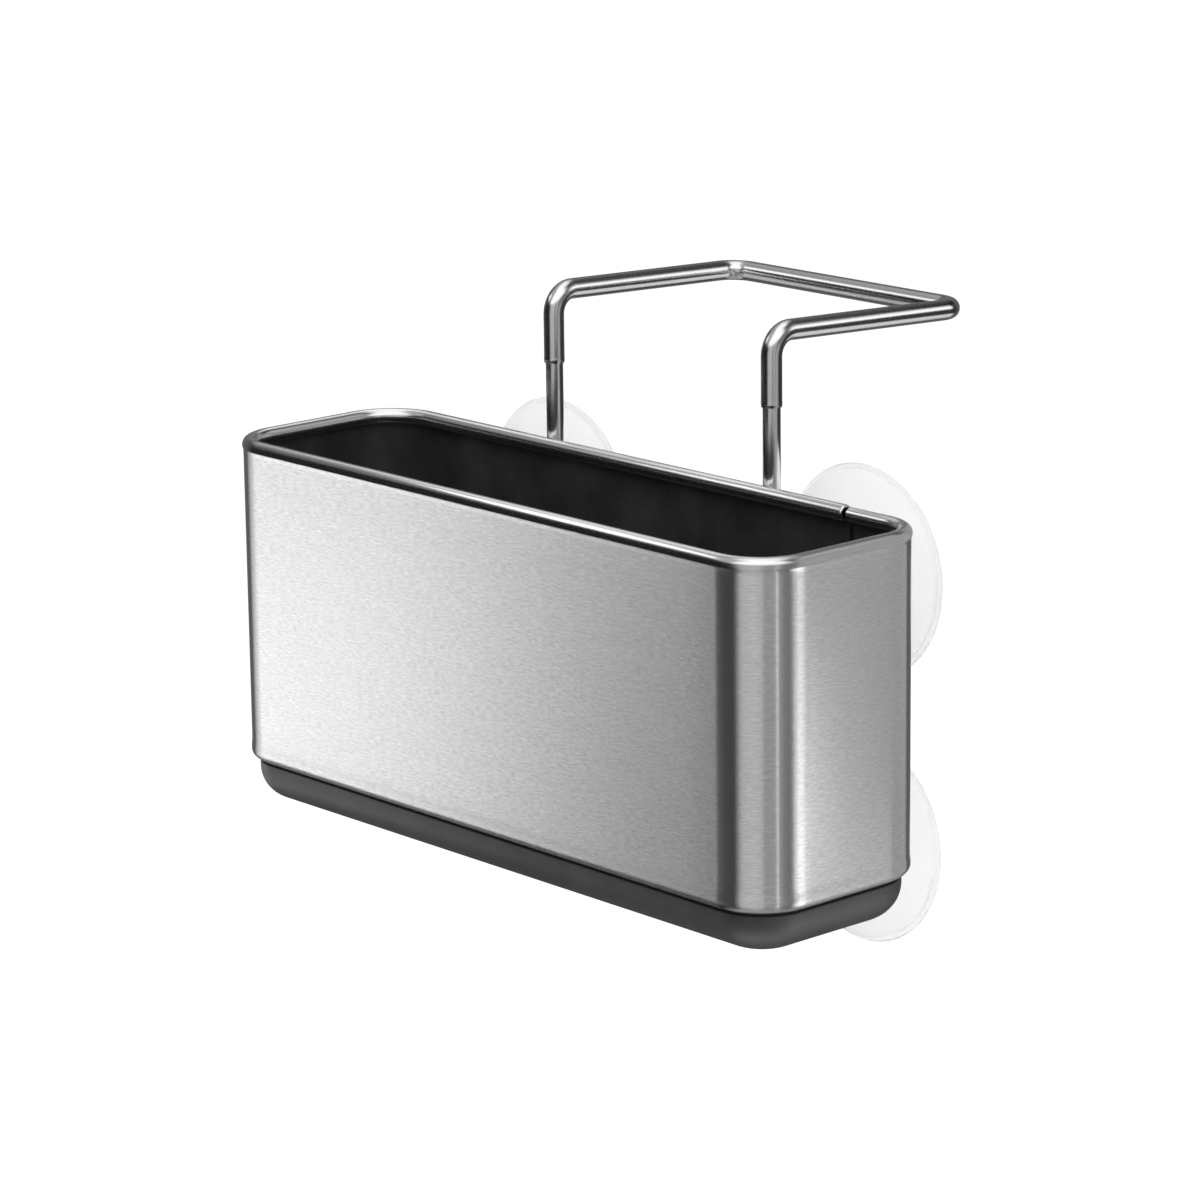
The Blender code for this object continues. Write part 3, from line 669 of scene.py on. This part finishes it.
def sheet_through(lines):
    """A bmesh with faces between the points of neighbouring lines."""
    shape = bmesh.new()
    grid = [[shape.verts.new(point) for point in line] for line in lines]
    for lower, upper in zip(grid, grid[1:]):
        for i in range(len(lower) - 1):
            shape.faces.new((lower[i], lower[i + 1], upper[i + 1], upper[i]))
    return shape


def softened(obj, width, segments=2):
    bevel = obj.modifiers.new("soft_edges", "BEVEL")
    bevel.width = width
    bevel.segments = segments
    bevel.limit_method = "ANGLE"
    bevel.angle_limit = SHARP_ANGLE
    return applied(obj)


def strip_object():
    """The strip over the seam, with a row of spot welds down each side of it."""
    half = SEAM_STRIP_WIDTH / 2
    low = SEAM_STRIP_LENGTH / 2
    middle_z = RIM_Z - RIM_RADIUS - RIM_RADIUS - SEAM_STRIP_BELOW_RIM - low
    inner = BACK_Y + GAP
    lines = []
    for up in arc(-low, low, STRIP_ROWS):
        reach = half - drawn_in(up, low, SEAM_STRIP_CORNER)
        across = arc(SEAM_X - reach, SEAM_X + reach, STRIP_COLUMNS)
        lines.append([(x, inner + SHEET, middle_z + up) for x in across])
    shape = sheet_through(lines)
    rise_shares = (-0.88, -0.53, -0.18, 0.18, 0.53, 0.88)
    welds = [(SEAM_X + side * half / 2, middle_z + low * rise) for side in (-1, 1) for rise in rise_shares]
    dent(shape, welds, inner)
    strip = thickened(object_from("seam_cover", shape), SHEET)
    # Painted shade: the face towards the seam slit takes the dark material, standing in for the shade seen
    # through the slit.
    for polygon in strip.data.polygons:
        polygon.material_index = 1 if polygon.normal.y < -0.5 else 0
    return strip


def thickened(obj, thickness):
    """A sheet turned to look along +Y, with its thickness grown behind it and its edges softened."""
    mesh = obj.data
    if mesh.polygons[len(mesh.polygons) // 2].normal.y < 0:
        mesh.flip_normals()
    solid = obj.modifiers.new("sheet", "SOLIDIFY")
    solid.thickness = thickness
    solid.offset = -1
    solid.use_even_offset = True
    return softened(applied(obj), thickness * SOFT_EDGE_SHARE)


def saddle_path():
    """A saddle's outer face seen from above, ear to ear round the back of a guide tube at the origin."""
    outer = GUIDE_RADIUS + GAP + SADDLE_SHEET
    ear_y = GAP - ROD_OFFSET + SADDLE_SHEET
    tip = GUIDE_RADIUS + GAP + SADDLE_EAR
    left = [Vector((-tip, ear_y, 0)), Vector((-outer, ear_y, 0)), Vector((-outer, 0, 0))]
    rise = filleted(left, SADDLE_BEND - SADDLE_SHEET / 2, SADDLE_BEND_STEPS)[:-1]
    half = [rise[0].lerp(rise[1], step / EAR_STEPS) for step in range(EAR_STEPS)] + rise[1:]
    turn = arc(0, math.pi, SADDLE_CROWN_STEPS)
    crown = [Vector((-outer * math.cos(angle), outer * math.sin(angle), 0)) for angle in turn]
    return half + crown + mirrored(half)


def saddle_object(level, word, x, height):
    """A stamped clip: rounded ears, each with a spot weld, and the crown over the tube."""
    path = saddle_path()
    tip = GUIDE_RADIUS + GAP + SADDLE_EAR
    half = SADDLE_WIDTH / 2
    lines = []
    for up in arc(-half, half, SADDLE_ROWS):
        edge = tip - drawn_in(up, half, SADDLE_CORNER)
        line = []
        for point in path:
            reach = abs(point.x)
            if reach > tip - SADDLE_EAR / 2:
                reach = min(reach, edge)
            line.append((x + math.copysign(reach, point.x), ROD_Y + point.y, height + up))
        lines.append(line)
    shape = sheet_through(lines)
    bmesh.ops.remove_doubles(shape, verts=shape.verts, dist=MERGE)
    weld_x = GUIDE_RADIUS + GAP + SADDLE_EAR / 2
    dent(shape, [(x - weld_x, height), (x + weld_x, height)], BACK_Y)
    name = "clip_" + level + "_" + word
    return thickened(object_from(name, shape), SADDLE_SHEET)


def wire_object(level, z):
    """A straight wire with an eye curled at each end, hooked right round the neck of a cup."""
    eye = [
        Vector((-CUP_SPACING_X / 2 - EYE_RADIUS * math.sin(a), WIRE_Y, z + EYE_RADIUS * math.cos(a)))
        for a in arc(EYE_TURN, 0, EYE_STEPS)
    ]
    name = "hanger_wire_" + level
    wire = tube_mesh(name, tube_curve(name, eye + mirrored(eye), WIRE_RADIUS, True))
    return softened(wire, WIRE_RADIUS * SOFT_EDGE_SHARE, 3)


def dome(start, end, steps):
    """Points between two (radius, height) points on a circle centred on the cup's axis, both included."""
    (start_r, start_z), (end_r, end_z) = start, end
    centre_z = (start_r**2 + start_z**2 - end_r**2 - end_z**2) / (start_z - end_z) / 2
    radius = math.hypot(end_r, end_z - centre_z)
    turns = arc(math.asin(start_r / radius), math.asin(end_r / radius), steps)
    return [(radius * math.sin(turn), centre_z + radius * math.cos(turn)) for turn in turns]


def cup_object(level, word, x, z):
    """A suction cup: headed neck, domed skin, and a thin pale flange round a ledge at its lip."""
    crown = -WIRE_Y - WIRE_RADIUS - GAP
    neck_top = -WIRE_Y + WIRE_RADIUS + GAP
    tip = neck_top + CUP_HEAD_HEIGHT
    lip = CUP_RADIUS - CUP_LIP
    hollow = crown - CUP_SKIN - CUP_SKIN
    head_start = (CUP_HEAD_RADIUS / 2, tip)
    head_end = (CUP_HEAD_RADIUS, tip - CUP_HEAD_HEIGHT / 2)
    root_start = (CUP_NECK_RADIUS, crown + CUP_EDGE)
    root_end = (CUP_NECK_RADIUS + CUP_EDGE, crown)
    edge_reach = CUP_RADIUS - CUP_EDGE / 2
    profile = [
        (0, tip),
        *quarter(head_start, head_end, HEAD_STEPS, True),
        (CUP_HEAD_RADIUS, neck_top),
        (CUP_NECK_RADIUS, neck_top),
        *quarter(root_start, root_end, ROOT_STEPS, False),
        *dome((CUP_SHOULDER_RADIUS, crown), (lip, CUP_EDGE + CUP_LIP), DOME_STEPS),
        (lip, CUP_EDGE),
        *quarter((edge_reach, CUP_EDGE), (CUP_RADIUS, CUP_EDGE / 2), EDGE_STEPS, True),
        (edge_reach, 0),
        *reversed(dome((0, hollow), (lip, 0), DOME_STEPS)),
    ]
    return turned("suction_" + level + "_" + word, profile, Vector((x, 0, z)), CUP_STEPS, upright=False)


# Materials


def node(tree, kind, values=None, **settings):
    """A node with its settings made; an input's value is a number or colour, or a socket to link."""
    made = tree.nodes.new("ShaderNode" + kind)
    for key, value in settings.items():
        setattr(made, key, value)
    feed(made, values or {})
    return made


def feed(target, values):
    """Gives a node its inputs, by name or by number."""
    for key, value in values.items():
        if isinstance(value, bpy.types.NodeSocket):
            target.id_data.links.new(value, target.inputs[key])
        else:
            target.inputs[key].default_value = value


def noise(tree, scale, detail=4.0, roughness=0.6, grain=False):
    """Noise drawn out along the object's axes, or along the grain of the sleeve's UV map."""
    if grain:
        coordinate = node(tree, "UVMap", uv_map="grain").outputs["UV"]
    else:
        coordinate = node(tree, "TexCoord").outputs["Object"]
    mapping = node(tree, "Mapping", {"Vector": coordinate, "Scale": scale})
    values = {"Vector": mapping.outputs["Vector"], "Scale": 1.0, "Detail": detail, "Roughness": roughness}
    return node(tree, "TexNoise", values).outputs["Fac"]


def ranged(tree, source, low, high, start=0.3, end=0.7, kind="LINEAR"):
    """A value from low to high as the source goes from start to end."""
    values = {"Value": source, "From Min": start, "From Max": end, "To Min": low, "To Max": high}
    return node(tree, "MapRange", values, interpolation_type=kind).outputs["Result"]


def tinted(tree, source, dark, light, start=0.3, end=0.7):
    """A colour from dark to light as the source goes from start to end."""
    made = node(tree, "ValToRGB", {"Fac": ranged(tree, source, 0, 1, start, end)})
    made.color_ramp.elements[0].color = (*dark, 1)
    made.color_ramp.elements[1].color = (*light, 1)
    return made.outputs["Color"]


def math_node(tree, operation, *values):
    return node(tree, "Math", dict(enumerate(values)), operation=operation).outputs["Value"]


def blend(tree, *weighted):
    """The sum of noises, each by its weight."""
    total, *others = [math_node(tree, "MULTIPLY", source, weight) for source, weight in weighted]
    for other in others:
        total = math_node(tree, "ADD", total, other)
    return total


def bumped(tree, height, strength, distance):
    values = {"Height": height, "Strength": strength, "Distance": distance}
    return node(tree, "Bump", values).outputs["Normal"]


def grain_tilt(tree, source, amount):
    """A normal leaned up or down the wall by the grain, which spreads a reflection across it."""
    lean = math_node(tree, "MULTIPLY_ADD", source, amount, 0.5 - amount / 2)
    colour = node(tree, "CombineColor", {"Red": 0.5, "Green": lean, "Blue": 1.0})
    made = node(tree, "NormalMap", {"Color": colour.outputs["Color"]}, uv_map="grain")
    return made.outputs["Normal"]


def new_material(name):
    """A material with its tree and its shader."""
    material = bpy.data.materials.new(name)
    material.use_nodes = True
    return material, material.node_tree, material.node_tree.nodes["Principled BSDF"]


def brushed_steel():
    """Stainless steel brushed along the band: streaks in tone, in roughness and in the surface's lean."""
    material, tree, shader = new_material("brushed_band")
    fine = noise(tree, (200, 7000, 1), grain=True)
    medium = noise(tree, (420, 2100, 1), 3.0, 0.7, grain=True)
    broad = noise(tree, (60, 300, 1), 2.0, grain=True)
    tone = blend(tree, (fine, 0.3), (medium, 0.62), (broad, 0.08))
    tangent = node(tree, "Tangent", direction_type="UV_MAP", uv_map="grain")
    feed(shader, {
        "Base Color": tinted(tree, tone, (0.685, 0.69, 0.685), (0.86, 0.865, 0.86), 0.35, 0.65),
        "Roughness": ranged(tree, tone, 0.27, 0.23),
        "Normal": grain_tilt(tree, fine, 0.2),
        "Metallic": 1,
        "Anisotropic": 1,
        "Anisotropic Rotation": 0.25,
        "Tangent": tangent.outputs["Tangent"],
    })
    return material


def rolled_steel():
    """The rolled rim, smoother than the wall: the rolling has burnished most of the grain away."""
    material, tree, shader = new_material("rolled_rim")
    streaks = noise(tree, (90, 4000, 1), grain=True)
    feed(shader, {
        "Base Color": tinted(tree, streaks, (0.72, 0.725, 0.72), (0.82, 0.825, 0.82), 0.35, 0.65),
        "Roughness": ranged(tree, streaks, 0.27, 0.21),
        "Metallic": 1,
    })
    return material


def inner_steel_painted_shade():
    """The band's inner face, unbrushed and painted dark as the shade inside the deep sleeve, with a soft
    mottle.
    """
    material, tree, shader = new_material("inner_face_painted_shade")
    mottle = noise(tree, (60, 60, 45), 4.0, 0.55)
    streak = noise(tree, (30, 30, 1600), 3.0)
    # Painted shade: this dark base colour stands in for the shade inside the deep sleeve; only the mottle is
    # random tone.
    feed(shader, {
        "Base Color": tinted(tree, mottle, (0.045, 0.045, 0.046), (0.10, 0.10, 0.101)),
        "Roughness": ranged(tree, streak, 0.42, 0.52),
        "Metallic": 0.6,
    })
    return material


def polished_steel():
    """Bright drawn tube and rod, with faint draw lines along it."""
    material, tree, shader = new_material("bright_tube")
    haze = noise(tree, (900, 900, 60))
    wear = noise(tree, (130, 130, 130), 5.0)
    tone = blend(tree, (haze, 0.6), (wear, 0.4))
    feed(shader, {
        "Base Color": tinted(tree, tone, (0.76, 0.76, 0.755), (0.83, 0.83, 0.825), 0.35, 0.65),
        "Roughness": ranged(tree, tone, 0.19, 0.23),
        "Normal": bumped(tree, haze, 0.02, 0.0002),
        "Metallic": 1,
    })
    return material


def plain_steel():
    """Satin drawn steel of the parts behind the caddy, clouded a little all over, as by heat tint."""
    material, tree, shader = new_material("satin_steel")
    lines = noise(tree, (700, 700, 90))
    cloud = noise(tree, (70, 70, 70))
    tone = blend(tree, (lines, 0.5), (cloud, 0.5))
    feed(shader, {
        "Base Color": tinted(tree, tone, (0.50, 0.495, 0.485), (0.64, 0.64, 0.635), 0.35, 0.65),
        "Roughness": ranged(tree, tone, 0.28, 0.42),
        "Normal": bumped(tree, lines, 0.15, 0.0002),
        "Metallic": 1,
    })
    return material


def base_plastic():
    """Dark moulded plastic with a fine spark-eroded texture and slightly uneven gloss."""
    material, tree, shader = new_material("moulded_tray")
    pits = noise(tree, (3600, 3600, 3600), 3.0)
    cloud = noise(tree, (55, 55, 55))
    feed(shader, {
        "Base Color": tinted(tree, cloud, (0.023, 0.0235, 0.024), (0.034, 0.0345, 0.035)),
        "Roughness": ranged(tree, pits, 0.44, 0.58),
        "Normal": bumped(tree, pits, 0.25, 0.00008),
        "IOR": 1.5,
    })
    return material


def nylon():
    """Natural nylon, a little waxy."""
    material, tree, shader = new_material("natural_nylon")
    cloud = noise(tree, (240, 240, 240))
    feed(shader, {
        "Base Color": tinted(tree, cloud, (0.74, 0.73, 0.69), (0.83, 0.82, 0.79)),
        "Roughness": ranged(tree, cloud, 0.40, 0.52),
        "Subsurface Weight": 0.15,
        "Subsurface Scale": 0.002,
    })
    return material


def clear_rubber():
    """Clear soft plastic with a milky cast and faint flow marks."""
    material, tree, shader = new_material("clear_cup")
    flow = noise(tree, (150, 150, 150), 3.0)
    feed(shader, {
        "Base Color": tinted(tree, flow, (0.955, 0.96, 0.96), (0.985, 0.985, 0.985)),
        "Roughness": ranged(tree, flow, 0.45, 0.6),
        "IOR": 1.3,
        "Transmission Weight": 0.88,
    })
    return material


# Studio


FLOOR_DROP = 0.55
FLOOR_HALF = 6.0
FLOOR_TONE = 0.6
FLOOR_GLOW = 0.66
WHITE = (1, 1, 1, 1)
PLAIN_LEVEL = 0.62


def bearings(turn, rise):
    """The direction at a compass angle and a height above the level, and the level one to its right."""
    level = math.cos(rise)
    towards = Vector((math.sin(turn) * level, -math.cos(turn) * level, math.sin(rise)))
    return towards, Vector((math.cos(turn), math.sin(turn), 0))


def add_camera():
    """The photograph's view, from in front and to the right, a little above."""
    back, right = bearings(VIEW_AZIMUTH, VIEW_ELEVATION)
    up = back.cross(right)
    tilted_right = math.cos(VIEW_ROLL) * right + math.sin(VIEW_ROLL) * up
    tilted_up = math.cos(VIEW_ROLL) * up - math.sin(VIEW_ROLL) * right
    eye = VIEW_TARGET + back * VIEW_DISTANCE + tilted_right * VIEW_RIGHT + tilted_up * VIEW_UP
    data = bpy.data.cameras.new("camera")
    data.lens = LENS
    data.sensor_width = SENSOR
    data.clip_start = CLIP_START
    data.clip_end = CLIP_END
    camera = add_object("camera", data)
    turn = Matrix((tilted_right, tilted_up, back)).transposed().to_4x4()
    camera.matrix_world = Matrix.Translation(eye) @ turn
    bpy.context.scene.camera = camera


def seen_directly(tree):
    """1 for a ray of the camera or one that comes through something clear."""
    path = node(tree, "LightPath")
    return math_node(tree, "MAXIMUM", path.outputs["Is Camera Ray"], path.outputs["Is Transmission Ray"])


def ramp(tree, source, stops):
    """A value that follows (position, value) stops, joined by straight lines."""
    curve = node(tree, "FloatCurve", {"Value": source})
    points = curve.mapping.curves[0].points
    curve.mapping.use_clip = False
    while len(points) < len(stops):
        points.new(0.5, 0.5)
    for point, (position, value) in zip(points, stops):
        point.location = (position, value)
        point.handle_type = "VECTOR"
    curve.mapping.update()
    return curve.outputs["Value"]


# What the metal mirrors at its own level, against compass angle in degrees: 0 in front, 90 on the right
AROUND = (
    (-180, 0.10), (-140, 0.16), (-110, 0.14), (-80, 0.10), (-60, 0.015), (-19, 0.010), (-5, 0.012),
    (-1, 0.08), (5, 0.34), (11, 0.50), (34, 0.54), (47, 0.47), (52, 0.30), (65, 0.30), (73, 0.32), (74, 1),
    (76, 1), (77, 0.28), (83, 0.26), (89, 0.17), (102, 0.17), (108, 0.20), (120, 0.03), (165, 0.025),
    (180, 0.10),
)
# How high that belt and the table below it reach, and how softly they end, in degrees
BELT_LOW = -48
BELT_HIGH = 24
TABLE_HIGH = -57
ROOM_FADE = 10
TABLE_LEVEL = 0.35
OVERHEAD_LOW = 66
OVERHEAD_FADE = 14
OVERHEAD_LEVEL = 1.2
# The room's bright panels: compass angles, heights, level, and the fades upwards and sideways, in degrees
ROOM_PANELS = (
    ((-12, 104), (24, 95), 1.3, 10, 24),
    ((-150, -78), (33, 70), 0.4, 16, 16),
    ((-165, -122), (20, 80), 0.08, 16, 16),
    ((-165, -112), (52, 84), 1.0, 12, 12),
)
# One more on the left, which also ends where the direction's X is this
LEFT_PANEL = ((-76, -15), (26, 66), 0.48, 14, 36)
LEFT_PANEL_END = -0.738
LEFT_PANEL_END_FADE = 0.03


def step_up(tree, source, edge, softness):
    return ranged(tree, source, 0, 1, edge - softness / 2, edge + softness / 2, "SMOOTHSTEP")


def step_down(tree, source, edge, softness):
    return math_node(tree, "SUBTRACT", 1.0, step_up(tree, source, edge, softness))


def product(tree, *values):
    total, *others = values
    for value in others:
        total = math_node(tree, "MULTIPLY", total, value)
    return total


def panel(tree, turn, rise, sides, heights, level, softness, side_softness):
    """A soft-edged bright panel of the surround, between two compass angles and two heights in degrees."""
    west = step_up(tree, turn, sides[0], side_softness)
    east = step_down(tree, turn, sides[1], side_softness)
    bottom = step_up(tree, rise, heights[0], softness)
    top = step_down(tree, rise, heights[1], softness)
    return product(tree, west, east, bottom, top, level)


def surround(tree):
    """How bright the studio is in each direction, as the metal mirrors it: a dark room with soft panels."""
    direction = node(tree, "TexCoord").outputs["Generated"]
    x, y, z = node(tree, "SeparateXYZ", {"Vector": direction}).outputs
    azimuth = math_node(tree, "ARCTAN2", x, math_node(tree, "MULTIPLY", y, -1.0))
    turn = math_node(tree, "MULTIPLY", azimuth, math.degrees(1))
    rise = math_node(tree, "MULTIPLY", math_node(tree, "ARCSINE", z), math.degrees(1))
    stops = [((angle + 180) / 360, value / 2) for angle, value in AROUND]
    level = math_node(tree, "MULTIPLY", ramp(tree, ranged(tree, turn, 0, 1, -180, 180), stops), 2.0)
    above = step_up(tree, rise, BELT_HIGH, ROOM_FADE)
    belt = math_node(tree, "SUBTRACT", step_up(tree, rise, BELT_LOW, ROOM_FADE), above)
    left_end = step_up(tree, x, LEFT_PANEL_END, LEFT_PANEL_END_FADE)
    total = product(tree, level, belt)
    for bright in (
        product(tree, step_down(tree, rise, TABLE_HIGH, ROOM_FADE), TABLE_LEVEL),
        product(tree, panel(tree, turn, rise, *LEFT_PANEL), left_end),
        *[panel(tree, turn, rise, *measures) for measures in ROOM_PANELS],
        product(tree, step_up(tree, rise, OVERHEAD_LOW, OVERHEAD_FADE), OVERHEAD_LEVEL),
    ):
        total = math_node(tree, "MAXIMUM", total, bright)
    return total


def add_world():
    """Plain light for matt surfaces, white where it is seen directly, and the surround for the metal."""
    world = bpy.data.worlds.new("studio")
    world.use_nodes = True
    world.cycles.sampling_method = "NONE"
    bpy.context.scene.world = world
    tree = world.node_tree
    glossy = node(tree, "LightPath").outputs["Is Glossy Ray"]
    plain = math_node(tree, "MULTIPLY", math_node(tree, "SUBTRACT", 1.0, glossy), PLAIN_LEVEL)
    lit = math_node(tree, "ADD", plain, math_node(tree, "MULTIPLY", surround(tree), glossy))
    direct = seen_directly(tree)
    hidden = math_node(tree, "SUBTRACT", 1.0, direct)
    strength = math_node(tree, "ADD", direct, math_node(tree, "MULTIPLY", lit, hidden))
    feed(tree.nodes["Background"], {"Strength": strength, "Color": WHITE})


def add_floor():
    """A plain pale floor below the caddy, white where it is seen, with the caddy's soft shadow on it."""
    shape = bmesh.new()
    for x, y in ((-1, -1), (1, -1), (1, 1), (-1, 1)):
        shape.verts.new((x * FLOOR_HALF, y * FLOOR_HALF, -FLOOR_DROP))
    shape.faces.new(shape.verts)
    floor = object_from("floor", shape)
    material, tree, shader = new_material("pale_floor")
    tree.nodes.remove(shader)
    strength = math_node(tree, "MULTIPLY", seen_directly(tree), FLOOR_GLOW)
    matt = node(tree, "BsdfDiffuse", {"Color": (FLOOR_TONE, FLOOR_TONE, FLOOR_TONE, 1)})
    glow = node(tree, "Emission", {"Color": WHITE, "Strength": strength})
    both = node(tree, "AddShader", {0: matt.outputs["BSDF"], 1: glow.outputs["Emission"]})
    feed(tree.nodes["Material Output"], {"Surface": both.outputs["Shader"]})
    floor.data.materials.append(material)
    floor.visible_glossy = False


def add_lamp(name, aim, azimuth, elevation, distance, size, level, aside=0, spread=180):
    """A soft panel that looks at a point from a compass angle and a height above the level, in degrees.

    It may stand aside of the point, by a distance along its own width, and a grid may narrow its spread.
    """
    width, height = size
    data = bpy.data.lights.new(name, "AREA")
    data.shape = "RECTANGLE"
    data.size = width
    data.size_y = height
    data.energy = level * width * height * math.pi
    data.spread = math.radians(spread)
    lamp = add_object(name, data)
    towards, sideways = bearings(math.radians(azimuth), math.radians(elevation))
    facing = towards.to_track_quat("Z", "Y").to_matrix().to_4x4()
    spot = Vector(aim) + towards * distance + sideways * aside
    lamp.matrix_world = Matrix.Translation(spot) @ facing
    lamp.visible_camera = False
    lamp.visible_transmission = False
    return lamp


def fade(lamp, axis, stops):
    """Makes a panel's light follow (position, share) stops along one of its axes."""
    lamp.data.use_nodes = True
    tree = lamp.data.node_tree
    place_on_panel = node(tree, "NewGeometry").outputs["Parametric"]
    across = node(tree, "SeparateXYZ", {"Vector": place_on_panel}).outputs[axis]
    feed(tree.nodes["Emission"], {"Strength": ramp(tree, across, stops)})


def keep_to(lamp, pieces):
    """Lets a lamp light only some pieces, as flags and cutters do in a studio."""
    linked = bpy.data.collections.new(lamp.name + "_lights")
    for piece in pieces:
        linked.objects.link(piece)
    lamp.light_linking.receiver_collection = linked


def add_room_lamps():
    """Three soft lamps for everything."""
    middle = (0, (FRONT_Y + BACK_Y) / 2, 0)
    for lamp in (
        add_lamp("soft_front_left", middle, -55, 42, 1.6, (1.0, 0.8), 3.5),
        add_lamp("soft_right", middle, 75, 30, 1.7, (0.8, 0.8), 2.6),
        add_lamp("soft_top", middle, 150, 70, 1.6, (1.2, 1.2), 1.6),
    ):
        lamp.visible_glossy = False


# Panels whose light varies: along X towards growing angles, along Y upwards, as (position, share) stops
FADES = {
    "front_wash": ("X", (
        (0, 0.12), (0.2, 0.38), (0.39, 0.62), (0.5, 0.85), (0.58, 1), (0.66, 1), (0.7, 0.94), (0.73, 0.87),
        (0.77, 0.71), (0.81, 0.51), (0.85, 0.37), (0.89, 0.31), (1, 0.24),
    )),
    "corner_veil": ("X", ((0, 1), (0.25, 0.72), (0.5, 0.42), (1, 0.28))),
    "corner_strip": ("X", (
        (0, 0), (0.06, 0.35), (0.23, 0.8), (0.4, 1), (0.57, 1), (0.74, 0.82), (0.79, 0.5), (0.83, 0.27),
        (0.9, 0.18), (1, 0.14),
    )),
    "loop_upper": ("Y", ((0, 1), (0.4, 1), (0.6, 0.35), (0.8, 0.12), (1, 0.04))),
}


def add_panels(band, rim, base, tubes):
    """Panels that model the brushed walls, the rim and the bright tubes, each kept to its own pieces."""
    front = (0, FRONT_Y, 0)
    corner = (0.095, FRONT_Y, 0)
    right = (SLEEVE_WIDTH / 2, (FRONT_Y + BACK_Y) / 2, 0)
    rim_front = (0.05, FRONT_Y, RIM_Z)
    rim_back = (0.05, BACK_Y, RIM_Z)
    loop = (0, ROD_Y + LOOP_REACH / 2, LOOP_Z)
    base_left = (-0.1, FRONT_Y, BASE_Z)
    base_right = (SLEEVE_WIDTH / 2, (FRONT_Y + BACK_Y) / 2, BASE_Z)
    base_front = (0.05, FRONT_Y, BASE_Z)
    for name, pieces, *placing in (
        ("front_wash", (band,), front, -52.6, -15.5, 1.0, (0.9, 0.45), 1.66, -0.2),
        ("corner_veil", (band,), corner, -27, -26, 1.0, (0.58, 0.5), 0.22),
        ("corner_strip", (band, base), right, 122, -28, 0.6, (0.38, 0.26), 1.85),
        ("right_fill", (band, rim, base), right, 147, -3, 0.9, (1.2, 2.2), 0.35),
        ("end_fill", (rim,), right, -162, 2, 0.8, (0.5, 0.9), 0.22),
        ("rim_front", (rim,), rim_front, -70, 38, 0.17, (0.1, 0.07), 0.14, 0, 48),
        ("rim_rear", (rim,), rim_back, -112, 36, 0.4, (0.25, 0.18), 0.65),
        ("rim_right", (rim,), right, 164, 54, 0.8, (0.5, 0.3), 0.3),
        ("loop_upper", tubes, loop, 135, 28, 1.0, (0.5, 0.76), 1.3),
        ("loop_lower", tubes, loop, 138, -41, 1.0, (0.8, 0.5), 0.75),
        ("loop_rear", tubes, loop, -50, -33, 1.0, (0.6, 0.6), 0.55),
        ("loop_front", tubes, loop, -58, 31, 1.0, (0.32, 0.24), 1.1),
        ("leg_edge", tubes, loop, 103, -11, 1.0, (0.6, 0.5), 0.22),
        ("loop_top", tubes, loop, 168, 50, 1.0, (0.7, 0.35), 0.06),
        ("base_left", (base,), base_left, -66, -14, 0.3, (0.3, 0.3), 1.65),
        ("base_right", (base,), base_right, 118, -40, 0.4, (0.3, 0.3), 2.0),
        ("base_low", (base,), base_front, 30, -66, 0.4, (0.5, 0.25), 2.4),
    ):
        lamp = add_lamp(name, *placing)
        keep_to(lamp, pieces)
        if name in FADES:
            fade(lamp, *FADES[name])


# The part, dressed


def dress(obj, material, body, slot, *nodes):
    obj.data.materials.append(material)
    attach(obj, body)
    if nodes:
        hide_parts(*nodes)
    return obj


def build():
    scene = bpy.context.scene
    scene.view_settings.view_transform = "Standard"
    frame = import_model()
    add_camera()
    add_world()
    add_floor()
    bright = polished_steel()
    satin = plain_steel()
    white = nylon()
    clear = clear_rubber()
    # The dark material paints the shade on the inner faces of the band and the rim, and behind the seam slit.
    dark = inner_steel_painted_shade()
    band = dress(sleeve_object("sleeve_band", 0), brushed_steel(), "caddy", "brushed_steel", "sleeve")
    rim = dress(sleeve_object("sleeve_rim", 1), rolled_steel(), "caddy", "brushed_steel", "sleeve")
    # Second slot of band and rim: the dark material, painted shade for their inner faces.
    for piece in (band, rim):
        piece.data.materials.append(dark)
    base = dress(base_object(), base_plastic(), "caddy", "base_plastic", "base")
    strip = dress(strip_object(), satin, "caddy", "plain_steel", "seam_strip")
    # The strip's face behind the seam slit takes the dark material as painted shade.
    strip.data.materials.append(dark)
    tubes = [dress(loop_object(), bright, "neck", "polished_steel", "faucet_loop")]
    for word, side in SIDES.items():
        x = side * ROD_SPACING / 2
        tubes.append(dress(rod_object(word, x), bright, "neck", "polished_steel", "rod_" + word))
        dress(guide_object(word, x), satin, "caddy", "plain_steel", "guide_tube_" + word)
        dress(plug_object(word, x), white, "caddy", "nylon", "plug_" + word)
        for slot in frame["nodes"]["bush_" + word].material_slots:
            slot.material = white
        for level, height in SADDLE_HEIGHTS.items():
            clip = saddle_object(level, word, x, FOOT_Z + height)
            dress(clip, satin, "caddy", "plain_steel", "saddle_" + level + "_" + word)
    for level, up in LEVELS.items():
        z = up * CUP_SPACING_Z / 2
        dress(wire_object(level, z), satin, "caddy", "plain_steel", "cross_wire_" + level)
        for word, side in SIDES.items():
            cup = cup_object(level, word, side * CUP_SPACING_X / 2, z)
            dress(cup, clear, "caddy", "clear_rubber", "cup_" + level + "_" + word)
    add_room_lamps()
    add_panels(band, rim, base, tubes)


build()
